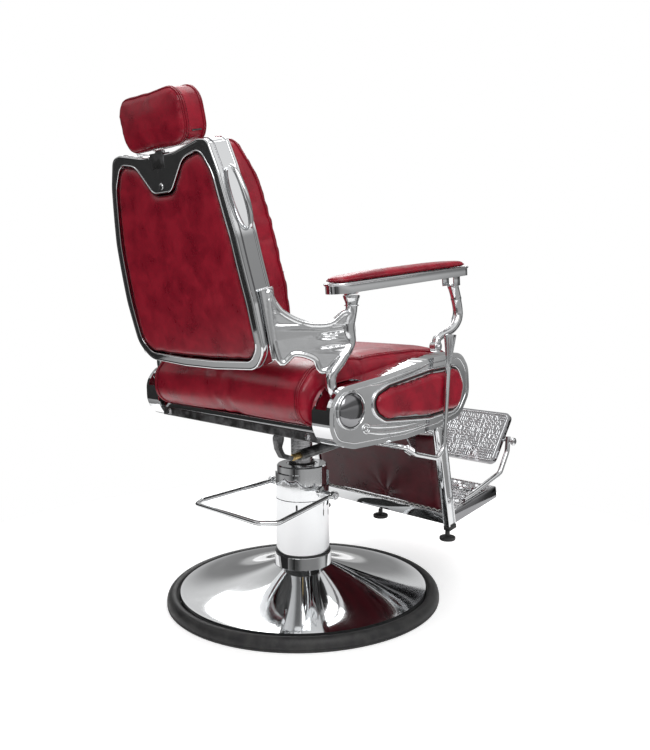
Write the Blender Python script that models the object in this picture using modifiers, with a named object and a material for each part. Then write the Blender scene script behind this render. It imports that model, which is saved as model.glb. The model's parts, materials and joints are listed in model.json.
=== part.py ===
"""Hydraulic barber chair: round base, pump column, swivelling seat, reclining back and footrest.

Frame: origin on the floor at the column's axis, +Z up, the chair faces -Y.
The sitter's right is -X.  All sizes are in metres.
"""
import math

import bmesh
import bpy
from mathutils import Vector

# ---------------------------------------------------------------- driving dimensions
GAP = 0.0003                  # clearance between pieces that touch
MERGE = 0.00001

BASE_RADIUS = 0.350
RING_WIDTH = 0.034
RING_HEIGHT = 0.031
COVER_TOP = 0.088
COLUMN_RADIUS = 0.0685
COLUMN_SEAM = 0.263           # height where sleeve and pump head meet
COLUMN_TOP = 0.348
PISTON_RADIUS = 0.0275
PISTON_TOP = 0.430
PUMP_AXIS_Z = 0.284

SEAT_INNER = 0.292            # half-width between the two side shells
SHELL_OUTER = 0.345
SEAT_BOTTOM = 0.5025
SEAT_TOP = 0.652
FRAME_PLATE_Z = 0.4625
ARM_X = 0.330                 # armrests, posts and castings are centred here
CASTING_LEG_X = 0.3185        # the casting's leg enters the side shell here

BACK_PIVOT = (0.175, 0.540)   # y, z of the reclining axis
BACK_LEAN = math.radians(12.2)
BACK_FOOT = (0.306, 0.620)    # y, z of the rear frame's lower edge
BAND_DEPTH = 0.055
BACK_BULGE = 0.010

ARM_LIFT = math.radians(5.2)
ARM_REAR_PIVOT = (0.155, 0.7872)
POST_FOOT = (-0.128, 0.655)
POST_HEAD = (-0.185, 0.8151)

LEG_PIVOT = (-0.262, 0.446)
LEG_LEAN = math.radians(10.0)
LEG_BAR_X = 0.235
PLATE_PIVOT = (-0.600, 0.350)
PLATE_TILT = math.radians(55.5)

STRUT_X = -0.152              # the recline cylinder passes beside the piston
STRUT_REAR = (0.166, 0.410)
STRUT_FRONT = (-0.206, 0.446)

LEVER_X = 0.372
LEVER_PIVOT = (0.030, 0.443)

SIDE_VIEW = (math.pi / 2, 0, math.pi / 2)    # turns a flat x, y outline into y, z

# ---------------------------------------------------------------- scene and materials
for old in list(bpy.data.objects):
    bpy.data.objects.remove(old, do_unlink=True)

chair = bpy.data.collections.new("barber_chair")
cutters = bpy.data.collections.new("cutters")
bpy.context.scene.collection.children.link(chair)
bpy.context.scene.collection.children.link(cutters)


def make_material(name, colour, metallic, roughness):
    """A plain Principled material."""
    material = bpy.data.materials.new(name)
    material.use_nodes = True
    shader = material.node_tree.nodes["Principled BSDF"]
    shader.inputs["Base Color"].default_value = (*colour, 1)
    shader.inputs["Metallic"].default_value = metallic
    shader.inputs["Roughness"].default_value = roughness
    return material


CHROME = make_material("chrome", (0.78, 0.79, 0.80), 1.0, 0.08)
LEATHER = make_material("red_leather", (0.30, 0.018, 0.035), 0.0, 0.35)
RUBBER = make_material("black_rubber", (0.025, 0.025, 0.025), 0.0, 0.6)
IRON = make_material("cast_iron", (0.09, 0.09, 0.09), 0.6, 0.6)
BLACK_PAINT = make_material("black_paint", (0.03, 0.03, 0.03), 0.2, 0.4)
BRASS = make_material("brass", (0.70, 0.50, 0.20), 1.0, 0.3)
STEEL = make_material("brushed_steel", (0.55, 0.55, 0.56), 1.0, 0.25)
PLYWOOD = make_material("plywood", (0.45, 0.30, 0.16), 0.0, 0.6)


# ---------------------------------------------------------------- modelling helpers
def add_object(name, mesh, material, collection=chair):
    """Link a mesh as a named object with one material."""
    solid = bpy.data.objects.new(name, mesh)
    collection.objects.link(solid)
    mesh.name = name
    mesh.materials.clear()
    if material:
        mesh.materials.append(material)
    return solid


def smooth(solid, degrees=35):
    """Shade a round piece smooth, with sharp edges kept."""
    solid.data.shade_smooth()
    solid.data.set_sharp_from_angle(angle=math.radians(degrees))
    return solid


def as_cutter(solid):
    """Keep an object out of the chair: it only cuts or joins another."""
    for owner in list(solid.users_collection):
        owner.objects.unlink(solid)
    cutters.objects.link(solid)
    solid.hide_render = True
    solid.display_type = "WIRE"
    return solid


def boolean(target, tool, operation="DIFFERENCE"):
    """Cut a tool out of the target, or join it on."""
    modifier = target.modifiers.new(tool.name, "BOOLEAN")
    modifier.operation = operation
    modifier.solver = "EXACT"
    modifier.object = as_cutter(tool)


def bevel(solid, width, segments=2, degrees=40):
    """Round the sharp edges."""
    modifier = solid.modifiers.new("rounded_edges", "BEVEL")
    modifier.width = width
    modifier.segments = segments
    modifier.limit_method = "ANGLE"
    modifier.angle_limit = math.radians(degrees)


def rounded_path(points, radius, closed=False, segments=2):
    """Replace each corner of a path with an arc; works in two or three dimensions."""
    corners = [Vector(point) for point in points]
    count = len(corners)
    radii = radius if isinstance(radius, (list, tuple)) else [radius] * count
    path = []
    for index, corner in enumerate(corners):
        if not closed and index in (0, count - 1):
            path.append(corner)
            continue
        before = corners[index - 1] - corner
        after = corners[(index + 1) % count] - corner
        half_angle = before.angle(after) / 2
        if half_angle > math.radians(88) or radii[index] == 0:
            path.append(corner)
            continue
        reach = min(radii[index] / math.tan(half_angle), 0.48 * before.length, 0.48 * after.length)
        arc_radius = reach * math.tan(half_angle)
        start = corner + before.normalized() * reach
        end = corner + after.normalized() * reach
        inward = (before.normalized() + after.normalized()).normalized()
        centre = corner + inward * (arc_radius / math.sin(half_angle))
        for step in range(segments + 1):
            blend = step / segments
            spoke = (start - centre).normalized().slerp((end - centre).normalized(), blend)
            path.append(centre + spoke * arc_radius)
    return path


def smooth_path(points, per_span=4, closed=False):
    """A Catmull-Rom curve through the points."""
    knots = [Vector(point) for point in points]
    count = len(knots)
    path = []
    spans = count if closed else count - 1
    for index in range(spans):
        a = knots[index - 1] if closed or index else knots[0] * 2 - knots[1]
        b = knots[index]
        c = knots[(index + 1) % count]
        last = index + 2 >= count and not closed
        d = c * 2 - b if last else knots[(index + 2) % count]
        for step in range(per_span):
            t = step / per_span
            path.append(0.5 * (2 * b + (c - a) * t + (2 * a - 5 * b + 4 * c - d) * t ** 2
                               + (3 * b - a - 3 * c + d) * t ** 3))
    if not closed:
        path.append(knots[-1])
    return path


def inset(outline, distance):
    """Move a dense closed outline inwards (it runs counter-clockwise)."""
    count = len(outline)
    moved = []
    for index, point in enumerate(outline):
        along = outline[(index + 1) % count] - outline[index - 1]
        normal = Vector((-along.y, along.x)).normalized()
        moved.append(Vector((point.x, point.y)) + normal * distance)
    return moved


def curve_to_solid(curve, name, material):
    """Turn a curve object into a closed mesh and remove the curve."""
    bpy.context.view_layer.update()
    evaluated = curve.evaluated_get(bpy.context.evaluated_depsgraph_get())
    mesh = bpy.data.meshes.new_from_object(evaluated)
    shape = bmesh.new()
    shape.from_mesh(mesh)
    bmesh.ops.remove_doubles(shape, verts=shape.verts, dist=MERGE)
    bmesh.ops.recalc_face_normals(shape, faces=shape.faces)
    shape.to_mesh(mesh)
    shape.free()
    solid = add_object(name, mesh, material)
    solid.matrix_world = curve.matrix_world.copy()
    bpy.data.objects.remove(curve, do_unlink=True)
    return solid


def add_curve(name, outlines, dimensions, cyclic, radii=None):
    """A curve object of straight-segment splines."""
    data = bpy.data.curves.new(name + "_curve", "CURVE")
    data.dimensions = dimensions
    for outline in outlines:
        spline = data.splines.new("POLY")
        spline.points.add(len(outline) - 1)
        for index, point in enumerate(outline):
            place = tuple(point) + (0,) * (3 - len(point))
            spline.points[index].co = (*place, 1)
            if radii:
                spline.points[index].radius = radii[index]
        spline.use_cyclic_u = cyclic
    curve = bpy.data.objects.new(name + "_curve", data)
    chair.objects.link(curve)
    return curve


def plate(name, outlines, thickness, material, location=(0, 0, 0), rotation=(0, 0, 0)):
    """A flat outline, with holes if more than one is given, thickened both ways."""
    curve = add_curve(name, outlines, "2D", True)
    curve.data.fill_mode = "BOTH"
    curve.data.extrude = thickness / 2
    curve.location = location
    curve.rotation_euler = rotation
    return smooth(curve_to_solid(curve, name, material))


def tube(name, points, radius, material, resolution=2, radii=None, cyclic=False):
    """A round bar along a path; radii scale it point by point."""
    curve = add_curve(name, [points], "3D", cyclic, radii)
    curve.data.bevel_depth = radius
    curve.data.bevel_resolution = resolution
    curve.data.use_fill_caps = not cyclic
    return smooth(curve_to_solid(curve, name, material), 50)


def box(name, size, location, material, rotation=(0, 0, 0)):
    """A block with its centre at the location."""
    shape = bmesh.new()
    bmesh.ops.create_cube(shape, size=1)
    bmesh.ops.scale(shape, vec=size, verts=shape.verts)
    mesh = bpy.data.meshes.new(name)
    shape.to_mesh(mesh)
    shape.free()
    solid = add_object(name, mesh, material)
    solid.location = location
    solid.rotation_euler = rotation
    return solid


def cylinder(name, radius, length, location, material, rotation=(0, 0, 0), sides=16):
    """A cylinder centred at the location, along its own Z."""
    shape = bmesh.new()
    bmesh.ops.create_cone(shape, cap_ends=True, segments=sides, radius1=radius,
                          radius2=radius, depth=length)
    mesh = bpy.data.meshes.new(name)
    shape.to_mesh(mesh)
    shape.free()
    solid = add_object(name, mesh, material)
    solid.location = location
    solid.rotation_euler = rotation
    return smooth(solid)


def turned(name, profile, material, steps=24, ring=False, location=(0, 0, 0), rotation=(0, 0, 0)):
    """Turn a profile of (radius, height) points, which runs down the outer side, about Z."""
    count = len(profile)
    edges = [(index, index + 1) for index in range(count - 1)]
    if ring:
        edges.append((count - 1, 0))
    mesh = bpy.data.meshes.new(name)
    mesh.from_pydata([(radius, 0, height) for radius, height in profile], edges, [])
    solid = add_object(name, mesh, material)
    screw = solid.modifiers.new("turned", "SCREW")
    screw.steps = steps
    screw.render_steps = steps
    screw.use_merge_vertices = True
    screw.merge_threshold = MERGE
    screw.use_smooth_shade = True
    solid.location = location
    solid.rotation_euler = rotation
    return solid


def sides():
    """The two sides of the chair: a name and the sign of X."""
    return (("left", 1), ("right", -1))


# ---------------------------------------------------------------- base and pump column
def cover_height(radius):
    """Height of the trumpet-shaped base cover at a radius."""
    top_radius = COLUMN_RADIUS + 0.006
    rim_radius = BASE_RADIUS - RING_WIDTH
    share = (radius - top_radius) / (rim_radius - top_radius)
    return RING_HEIGHT + (COVER_TOP - RING_HEIGHT) * (1 - share) ** 1.7


def build_base():
    """Iron plate with the rubber ring round it and the chrome cover over it."""
    plate_radius = BASE_RADIUS - RING_WIDTH - GAP
    turned("base_plate", [(0, 0.012), (plate_radius, 0.012), (plate_radius, 0), (0, 0)], IRON, 36)

    wall = 0.0025
    top_radius = COLUMN_RADIUS + 0.006
    radii = [top_radius + (plate_radius - top_radius) * (step / 5) ** 1.4 for step in range(6)]
    outer = [(radius, cover_height(radius)) for radius in radii]
    inner = [(radius, cover_height(radius) - wall) for radius in reversed(radii[:-1])]
    rim = [(plate_radius, 0.012 + GAP), (plate_radius - wall, 0.012 + GAP),
           (plate_radius - wall, RING_HEIGHT - wall)]
    turned("base_cover", outer + rim + inner, CHROME, 36, ring=True)

    middle = BASE_RADIUS - RING_WIDTH / 2
    half = RING_WIDTH / 2
    ring = []
    for step in range(7):
        angle = math.pi * step / 6
        ring.append((middle - half * math.cos(angle), 0.008 + 0.023 * math.sin(angle)))
    ring += [(BASE_RADIUS, 0.002), (BASE_RADIUS - 0.002, 0), (BASE_RADIUS - RING_WIDTH, 0)]
    turned("base_ring", ring, RUBBER, 36, ring=True)


def build_column():
    """Pump cylinder inside, and outside it a collar, a sleeve and the pump head with its cap."""
    bore = PISTON_RADIUS + 0.0005
    turned("pump_cylinder", [(0.048, 0.318), (0.048, 0.013), (bore, 0.013), (bore, 0.318)],
           STEEL, ring=True)
    collar = COLUMN_RADIUS + 0.0045
    turned("column_collar", [(collar - 0.002, 0.124), (collar, 0.120), (collar, 0.040),
                             (COLUMN_RADIUS - 0.005, 0.040), (COLUMN_RADIUS - 0.005, 0.124)],
           CHROME, ring=True)
    turned("column_sleeve", [(COLUMN_RADIUS, COLUMN_SEAM - GAP), (COLUMN_RADIUS, 0.124 + GAP),
                             (COLUMN_RADIUS - 0.004, 0.124 + GAP),
                             (COLUMN_RADIUS - 0.004, COLUMN_SEAM - GAP)], CHROME, ring=True)
    head = turned("column_head", [(COLUMN_RADIUS, 0.329), (COLUMN_RADIUS, COLUMN_SEAM),
                                  (COLUMN_RADIUS - 0.004, COLUMN_SEAM),
                                  (COLUMN_RADIUS - 0.004, 0.329)], CHROME, ring=True)
    boolean(head, box("head_step", (0.2, 0.100, 0.066), (0, 0, 0.329), None))
    cap = COLUMN_RADIUS - 0.0045
    turned("column_cap", [(bore, COLUMN_TOP), (cap - 0.003, COLUMN_TOP), (cap, COLUMN_TOP - 0.003),
                          (cap, COLUMN_SEAM + 0.004), (cap - 0.006, COLUMN_SEAM + 0.004),
                          (cap - 0.006, COLUMN_TOP - 0.010), (bore, COLUMN_TOP - 0.010)],
           CHROME, ring=True)
    for name, sign in sides():
        start = COLUMN_RADIUS - 0.003
        end = 0.1095
        boss = cylinder("pump_pivot_" + name, 0.0065, end - start,
                        (sign * (start + end) / 2, 0, PUMP_AXIS_Z), None, (0, math.pi / 2, 0))
        boolean(head, boss, "UNION")


def build_pump_lever():
    """One bent rod: an eye at each side of the column and a foot bar behind it."""
    eye_x = 0.1165
    right = [(-eye_x, -0.010, PUMP_AXIS_Z), (-eye_x, 0.025, PUMP_AXIS_Z - 0.002),
             (-0.146, 0.208, 0.264), (-0.118, 0.246, 0.266)]
    left = [(-x, y, z) for x, y, z in reversed(right)]
    bends = [0, 0.03, 0.02, 0.02, 0.02, 0.02, 0.03, 0]
    tube("pump_lever", rounded_path(right + left, bends), 0.0058, CHROME)


def build_ram():
    """The piston that lifts the seat."""
    turned("piston", [(0, PISTON_TOP), (PISTON_RADIUS - 0.002, PISTON_TOP),
                      (PISTON_RADIUS, PISTON_TOP - 0.002), (PISTON_RADIUS, 0.060), (0, 0.060)],
           STEEL)


# ---------------------------------------------------------------- seat
def shell_outline():
    """Side view (y, z) of a side shell, counter-clockwise."""
    corners = [(0.165, 0.456), (0.218, 0.470), (0.236, 0.505), (0.236, 0.555), (0.205, 0.590),
               (0.080, 0.604), (-0.080, 0.630), (-0.205, 0.639), (-0.236, 0.600), (-0.240, 0.535),
               (-0.205, 0.485), (-0.120, 0.466), (0.000, 0.455)]
    return rounded_path(corners, 0.05, closed=True)


def pad_outline():
    """Side view (y, z) of the leather insert in a side shell, counter-clockwise."""
    corners = [(0.070, 0.508), (0.104, 0.528), (0.106, 0.562), (0.060, 0.580), (-0.080, 0.601),
               (-0.185, 0.605), (-0.208, 0.560), (-0.190, 0.506), (-0.080, 0.497)]
    return rounded_path(corners, 0.03, closed=True)


def build_side(name, sign):
    """One side of the seat: shell, leather insert and the domed cap over the back's pivot."""
    wall = 0.004
    outline = shell_outline()
    width = SHELL_OUTER - SEAT_INNER
    centre = (SEAT_INNER + SHELL_OUTER) / 2
    shell = plate("side_shell_" + name, [outline], width, CHROME, (sign * centre, 0, 0), SIDE_VIEW)
    bevel(shell, 0.008, 1)
    hollow = plate("hollow_" + name, [inset(outline, wall)], width, None,
                   (sign * (centre - wall), 0, 0), SIDE_VIEW)
    boolean(shell, hollow)
    slot = box("leg_slot_" + name, (0.034, 0.170, 0.080), (sign * 0.318, 0.212, 0.585), None)
    boolean(shell, slot)

    pad = plate("side_pad_" + name, [pad_outline()], 0.016, LEATHER,
                (sign * (SHELL_OUTER + GAP + 0.008), 0, 0), SIDE_VIEW)
    bevel(pad, 0.006, 1)
    dome = [(0, 0.013), (0.018, 0.011), (0.032, 0.006), (0.040, 0), (0, 0)]
    turned("pivot_cap_" + name, dome, CHROME, 24,
           location=(sign * (SHELL_OUTER + GAP), *BACK_PIVOT), rotation=(0, sign * math.pi / 2, 0))


def build_seat_frame():
    """Steel plate on the ram, cross bars to the side shells, and the hangers below it."""
    hub_top = FRAME_PLATE_Z - GAP
    turned("seat_hub", [(0, hub_top), (0.075, hub_top), (0.075, hub_top - 0.008), (0.040, hub_top - 0.014),
                        (0.040, PISTON_TOP + GAP), (0, PISTON_TOP + GAP)], BLACK_PAINT)
    frame = box("seat_frame", (0.38, 0.396, 0.008), (0, -0.002, FRAME_PLATE_Z + 0.004), BLACK_PAINT)
    for name, sign in sides():
        tongue = box("tongue_" + name, (0.010, 0.095, 0.036),
                     (sign * 0.184, LEG_PIVOT[0] + 0.032, 0.4524), None)
        boolean(frame, tongue, "UNION")
    bearing = box("lever_bearing", (0.020, 0.034, 0.036), (-0.180, LEVER_PIVOT[0], 0.4462), None)
    boolean(frame, bearing, "UNION")
    boolean(frame, cylinder("bearing_hole", 0.0063, 0.1, (-0.180, *LEVER_PIVOT), None,
                            (0, math.pi / 2, 0), 16))
    boolean(frame, cylinder("axle_hole", 0.0063, 0.5, (0, *LEG_PIVOT), None, (0, math.pi / 2, 0), 16))
    cylinder("legrest_axle", 0.006, 0.50, (0, *LEG_PIVOT), STEEL, (0, math.pi / 2, 0), 16)

    length = 2 * (SEAT_INNER - GAP)
    rear = box("rear_cross_bar", (length, 0.024, 0.020), (0, 0.2085 + GAP, 0.479), BLACK_PAINT)
    bevel(rear, 0.002)
    front = box("front_cross_bar", (length, 0.030, 0.018), (0, -0.140, FRAME_PLATE_Z + 0.0175), BLACK_PAINT)
    bevel(front, 0.002)
    box("seat_board", (0.530, 0.430, 0.011), (0, -0.020, 0.4965), PLYWOOD)

    bar_bottom = 0.469 - GAP
    strap = rounded_path([(0.2185, 0.4560), (0.2185, bar_bottom), (0.1985, bar_bottom), (0.1985, 0.4560),
                          (0.2050, 0.4400), (0.1970, 0.4240), (0.1690, 0.4140), (0.1720, 0.4050),
                          (0.2020, 0.4140), (0.2145, 0.4360)], 0.010, closed=True)
    plate("hanger_strap", [strap], 0.016, BLACK_PAINT, (STRUT_X, 0, 0), SIDE_VIEW)


def build_seat_cushion():
    """Seat cushion: a rolled front and rear edge, flat where it rests on the board."""
    corners = [(-0.215, SEAT_BOTTOM), (0.225, SEAT_BOTTOM), (0.264, 0.530), (0.262, 0.585),
               (0.220, 0.630), (0.120, SEAT_TOP - 0.004), (-0.120, SEAT_TOP), (-0.235, 0.645),
               (-0.275, 0.600), (-0.270, 0.525)]
    outline = rounded_path(corners, 0.035, closed=True)
    cushion = plate("seat_cushion", [outline], 2 * (SEAT_INNER - 0.003), LEATHER, (0, 0, 0), SIDE_VIEW)
    bevel(cushion, 0.012, 2)


def build_recline_lever():
    """A bent rod under the right side shell that turns up into a flared hand grip."""
    y, z = LEVER_PIVOT
    corners = [(-0.155, y, z), (-LEVER_X, y, z), (-LEVER_X, y - 0.035, z - 0.020),
               (-LEVER_X, -0.080, 0.402), (-LEVER_X, -0.106, 0.421), (-LEVER_X, -0.122, 0.610)]
    lever = tube("recline_lever", rounded_path(corners, [0, 0.006, 0.02, 0.02, 0.03, 0]), 0.0058, CHROME)
    grip_outline = rounded_path([(-0.128, 0.600), (-0.116, 0.600), (-0.107, 0.640), (-0.103, 0.684),
                                 (-0.145, 0.684), (-0.141, 0.640)], 0.004, closed=True)
    grip = plate("lever_grip", [grip_outline], 0.018, None, (-LEVER_X, 0, 0), SIDE_VIEW)
    boolean(lever, grip, "UNION")


# ---------------------------------------------------------------- recline linkage
def build_recline_strut():
    """Cylinder hung from the strap at its rear end; its rod pushes the footrest's crank."""
    rear = Vector((STRUT_X, *STRUT_REAR))
    front = Vector((STRUT_X, *STRUT_FRONT))
    along = (front - rear).normalized()
    tilt = (math.pi / 2 - math.atan2(along.z, -along.y), 0, 0)
    cylinder("recline_cylinder", 0.0125, 0.150, rear + along * 0.0955, BLACK_PAINT, tilt, 16)
    cylinder("cylinder_end", 0.008, 0.0204, rear + along * 0.010, BRASS, tilt, 12)
    start = 0.1705 + GAP
    end = (front - rear).length
    cylinder("recline_rod", 0.0045, end - start, rear + along * (start + end) / 2, STEEL, tilt, 12)


# ---------------------------------------------------------------- back
def back_outline():
    """Rear view (x, height along the back) of the back's frame, counter-clockwise."""
    right = [(0.060, -0.002), (0.200, 0.006), (0.238, 0.045), (0.240, 0.150), (0.228, 0.290),
             (0.202, 0.420), (0.180, 0.480), (0.150, 0.484), (0.060, 0.468)]
    left = [(-x, z) for x, z in reversed(right)]
    return rounded_path(right + left, [0.05, 0.05, 0.05, 0.2, 0.2, 0.1, 0.022, 0.03, 0.1]
                        + [0.1, 0.03, 0.022, 0.1, 0.2, 0.2, 0.05, 0.05, 0.05], closed=True)


def panel_outline(clearance=0.0):
    """Rear view of the opening for the rear panel: its top edge dips in the middle."""
    edge = clearance
    right = [(0.060, 0.018 + edge), (0.190 - edge, 0.024 + edge), (0.219 - edge, 0.055 + edge),
             (0.220 - edge, 0.150), (0.209 - edge, 0.285), (0.184 - edge, 0.415),
             (0.152 - edge, 0.464 - edge), (0.092, 0.454 - edge), (0.034, 0.390 - edge)]
    left = [(-x, z) for x, z in reversed(right)]
    return rounded_path(right + left, [0.05, 0.04, 0.04, 0.2, 0.2, 0.08, 0.03, 0.05, 0.03]
                        + [0.03, 0.05, 0.03, 0.08, 0.2, 0.2, 0.04, 0.04, 0.05], closed=True)


def bulge_back(solid):
    """Bow a piece of the back rearwards at mid height."""
    for vertex in solid.data.vertices:
        share = (vertex.co.y - 0.235) / 0.235
        vertex.co.z -= BACK_BULGE * (1 - share ** 2)


def back_plate(name, outlines, front, rear, material):
    """A plate of the back between two depths, measured forwards from the rear face."""
    depth = (front + rear) / 2
    y = BACK_FOOT[0] - depth * math.cos(BACK_LEAN)
    z = BACK_FOOT[1] + depth * math.sin(BACK_LEAN)
    solid = plate(name, outlines, front - rear, material, (0, y, z), (math.pi / 2 - BACK_LEAN, 0, 0))
    bulge_back(solid)
    return solid


def build_back():
    """Chrome frame, the panel let into its rear face and the cushion in front of it."""
    frame = back_plate("back_frame", [back_outline(), panel_outline()], BAND_DEPTH, 0, CHROME)
    bevel(frame, 0.004, 1)
    lean = (-BACK_LEAN, 0, 0)
    boolean(frame, box("guide_channel", (0.0506, 0.0340, 0.160), back_point(0, -0.0005, 0.4715), None, lean))
    panel = back_plate("back_panel", [panel_outline(0.0006)], 0.016, 0.004, LEATHER)
    cushion = back_plate("back_cushion", [inset(back_outline(), 0.005)], 0.165, BAND_DEPTH + GAP, LEATHER)
    front = [(0.118, -0.010), (0.134, 0.050), (0.146, 0.120), (0.148, 0.190), (0.140, 0.290), (0.122, 0.390),
             (0.094, 0.490)]
    profile = [back_point(0, 0.030, -0.020).yz] + [back_point(0, depth, height).yz for depth, height in front]
    profile.append(back_point(0, 0.030, 0.490).yz)
    boolean(cushion, plate("cushion_profile", [list(reversed(profile))], 0.6, None, (0, 0, 0), SIDE_VIEW), "INTERSECT")


def back_point(x, depth, height):
    """World place of a point of the back: depth is forwards from the rear face."""
    y = BACK_FOOT[0] - depth * math.cos(BACK_LEAN) + height * math.sin(BACK_LEAN)
    z = BACK_FOOT[1] + depth * math.sin(BACK_LEAN) + height * math.cos(BACK_LEAN)
    return Vector((x, y, z))


def build_back_handle(name, sign):
    """Half-moon grab bar on the side band."""
    points = []
    for step in range(9):
        angle = math.pi * step / 8
        height = 0.360 - 0.062 * math.cos(angle)
        band = 0.240 - 0.085 * max(0, height - 0.15) ** 1.25 * 2.4
        points.append(back_point(sign * (band + 0.009 + 0.019 * math.sin(angle)), 0.026, height))
    tube("back_handle_" + name, points, 0.0055, CHROME, 2)


def casting_x(y):
    """Sideways place of the casting's web: it flares out from the back to the armrest."""
    share = (0.300 - y) / (0.300 - 0.170)
    return 0.2475 + (ARM_X - 0.2475) * min(1, max(0, share))


def build_arm_casting(name, sign):
    """Bolted foot on the back, saddle-shaped web, post up to the armrest, leg down to the pivot."""
    web_outline = [(0.312, 0.786), (0.285, 0.748), (0.245, 0.724), (0.200, 0.722), (0.172, 0.744),
                   (0.156, 0.730), (0.152, 0.690), (0.180, 0.645), (0.214, 0.622), (0.228, 0.648),
                   (0.262, 0.660), (0.290, 0.648)]
    outline = smooth_path([(y, z) for y, z in web_outline], 1, closed=True)
    web = plate("arm_casting_" + name, [list(reversed(outline))], 0.012, CHROME, (0, 0, 0), SIDE_VIEW)
    for vertex in web.data.vertices:
        vertex.co.z += sign * casting_x(vertex.co.x)
    leg = smooth_path([(0.154, 0.7765), (0.154, 0.752), (0.161, 0.715), (0.154, 0.680), (0.178, 0.645),
                       (0.204, 0.615), (0.200, 0.580), (0.176, 0.545)], 2)
    radii = [1.2 - 0.2 * min(1, index / 4) for index in range(len(leg))]
    path = []
    for point in leg:
        rise = min(1, max(0, (point.y - 0.610) / 0.120))
        path.append((sign * (CASTING_LEG_X + (ARM_X - CASTING_LEG_X) * rise), point.x, point.y))
    post = tube("post_" + name, path, 0.0125, None, 2, radii)
    boolean(web, post, "UNION")
    foot = box("casting_foot_" + name, (0.008, 0.034, 0.150), back_point(sign * 0.2453, 0.028, 0.100),
               None, (-BACK_LEAN, 0, 0))
    boolean(web, foot, "UNION")


# ---------------------------------------------------------------- headrest
def build_headrest():
    """Bar that slides in a black guide on the back, and the padded headrest on its bracket."""
    lean = (-BACK_LEAN, 0, 0)
    guide = box("headrest_guide", (0.050, 0.012, 0.080), back_point(0, 0.010, 0.432), BLACK_PAINT, lean)
    boolean(guide, box("guide_slot", (0.0306, 0.0062, 0.3), back_point(0, 0.010, 0.432), None, lean))
    box("headrest_bar", (0.030, 0.0056, 0.083), back_point(0, 0.010, 0.4360), STEEL, lean)
    centre = back_point(0, 0.031, 0.5390)
    pad = box("headrest_pad", (0.246, 0.076, 0.118), centre, LEATHER, lean)
    bevel(pad, 0.028, 3)


# ---------------------------------------------------------------- armrests
def arm_outline(margin=0.0):
    """Plan (x, y) of an armrest, counter-clockwise, the rear end rounder than the front."""
    half = 0.032 - margin
    front = -0.375 + margin
    rear = 0.063 - margin
    corners = [(-half, front), (half, front), (half, rear), (-half, rear)]
    return rounded_path(corners, [0.012, 0.012, 0.030, 0.030], closed=True)


def build_armrest(name, sign):
    """Chrome tray and leather pad, tilted up towards the front."""
    lift = (-ARM_LIFT, 0, 0)
    up = Vector((0, math.sin(ARM_LIFT), math.cos(ARM_LIFT)))
    pivot = Vector((sign * ARM_X, *ARM_REAR_PIVOT))
    tray = plate("armrest_tray_" + name, [arm_outline()], 0.022, CHROME, pivot + up * 0.0105, lift)
    bevel(tray, 0.003, 1)
    for cheek, offset in (("inner", -0.0162), ("outer", 0.0162)):
        ear = box(f"post_{cheek}_cheek_{name}", (0.0035, 0.024, 0.026), pivot + Vector((offset, -0.3400, 0.0214)),
                  None, lift)
        boolean(tray, ear, "UNION")
    pad = plate("armrest_pad_" + name, [arm_outline(0.001)], 0.018, LEATHER, pivot + up * 0.0308, lift)
    bevel(pad, 0.007, 2)


def build_front_post(name, sign):
    """S-shaped post with a fluted head, pivoted on the side shell."""
    x = sign * ARM_X
    foot = Vector((x, *POST_FOOT))
    path = smooth_path([foot, (x, -0.138, 0.676), (x, -0.188, 0.694), (x, -0.212, 0.724),
                        (x, -0.205, 0.765), (x, POST_HEAD[0] - 0.006, POST_HEAD[1] - 0.0150)], 2)
    count = len(path)
    radii = [1.0 + 0.25 * (index / (count - 1)) ** 4 for index in range(count)]
    post = tube("front_post_" + name, path, 0.0100, CHROME, 2, radii)
    eye = cylinder("post_eye_" + name, 0.013, 0.020, foot, None, (0, math.pi / 2, 0), 20)
    boolean(post, eye, "UNION")


# ---------------------------------------------------------------- footrest
def leg_point(x, forward, down):
    """World place of a footrest point, measured forwards and down from its hinge."""
    y = LEG_PIVOT[0] - forward * math.cos(LEG_LEAN) - down * math.sin(LEG_LEAN)
    z = LEG_PIVOT[1] + forward * math.sin(LEG_LEAN) - down * math.cos(LEG_LEAN)
    return Vector((x, y, z))


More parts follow.
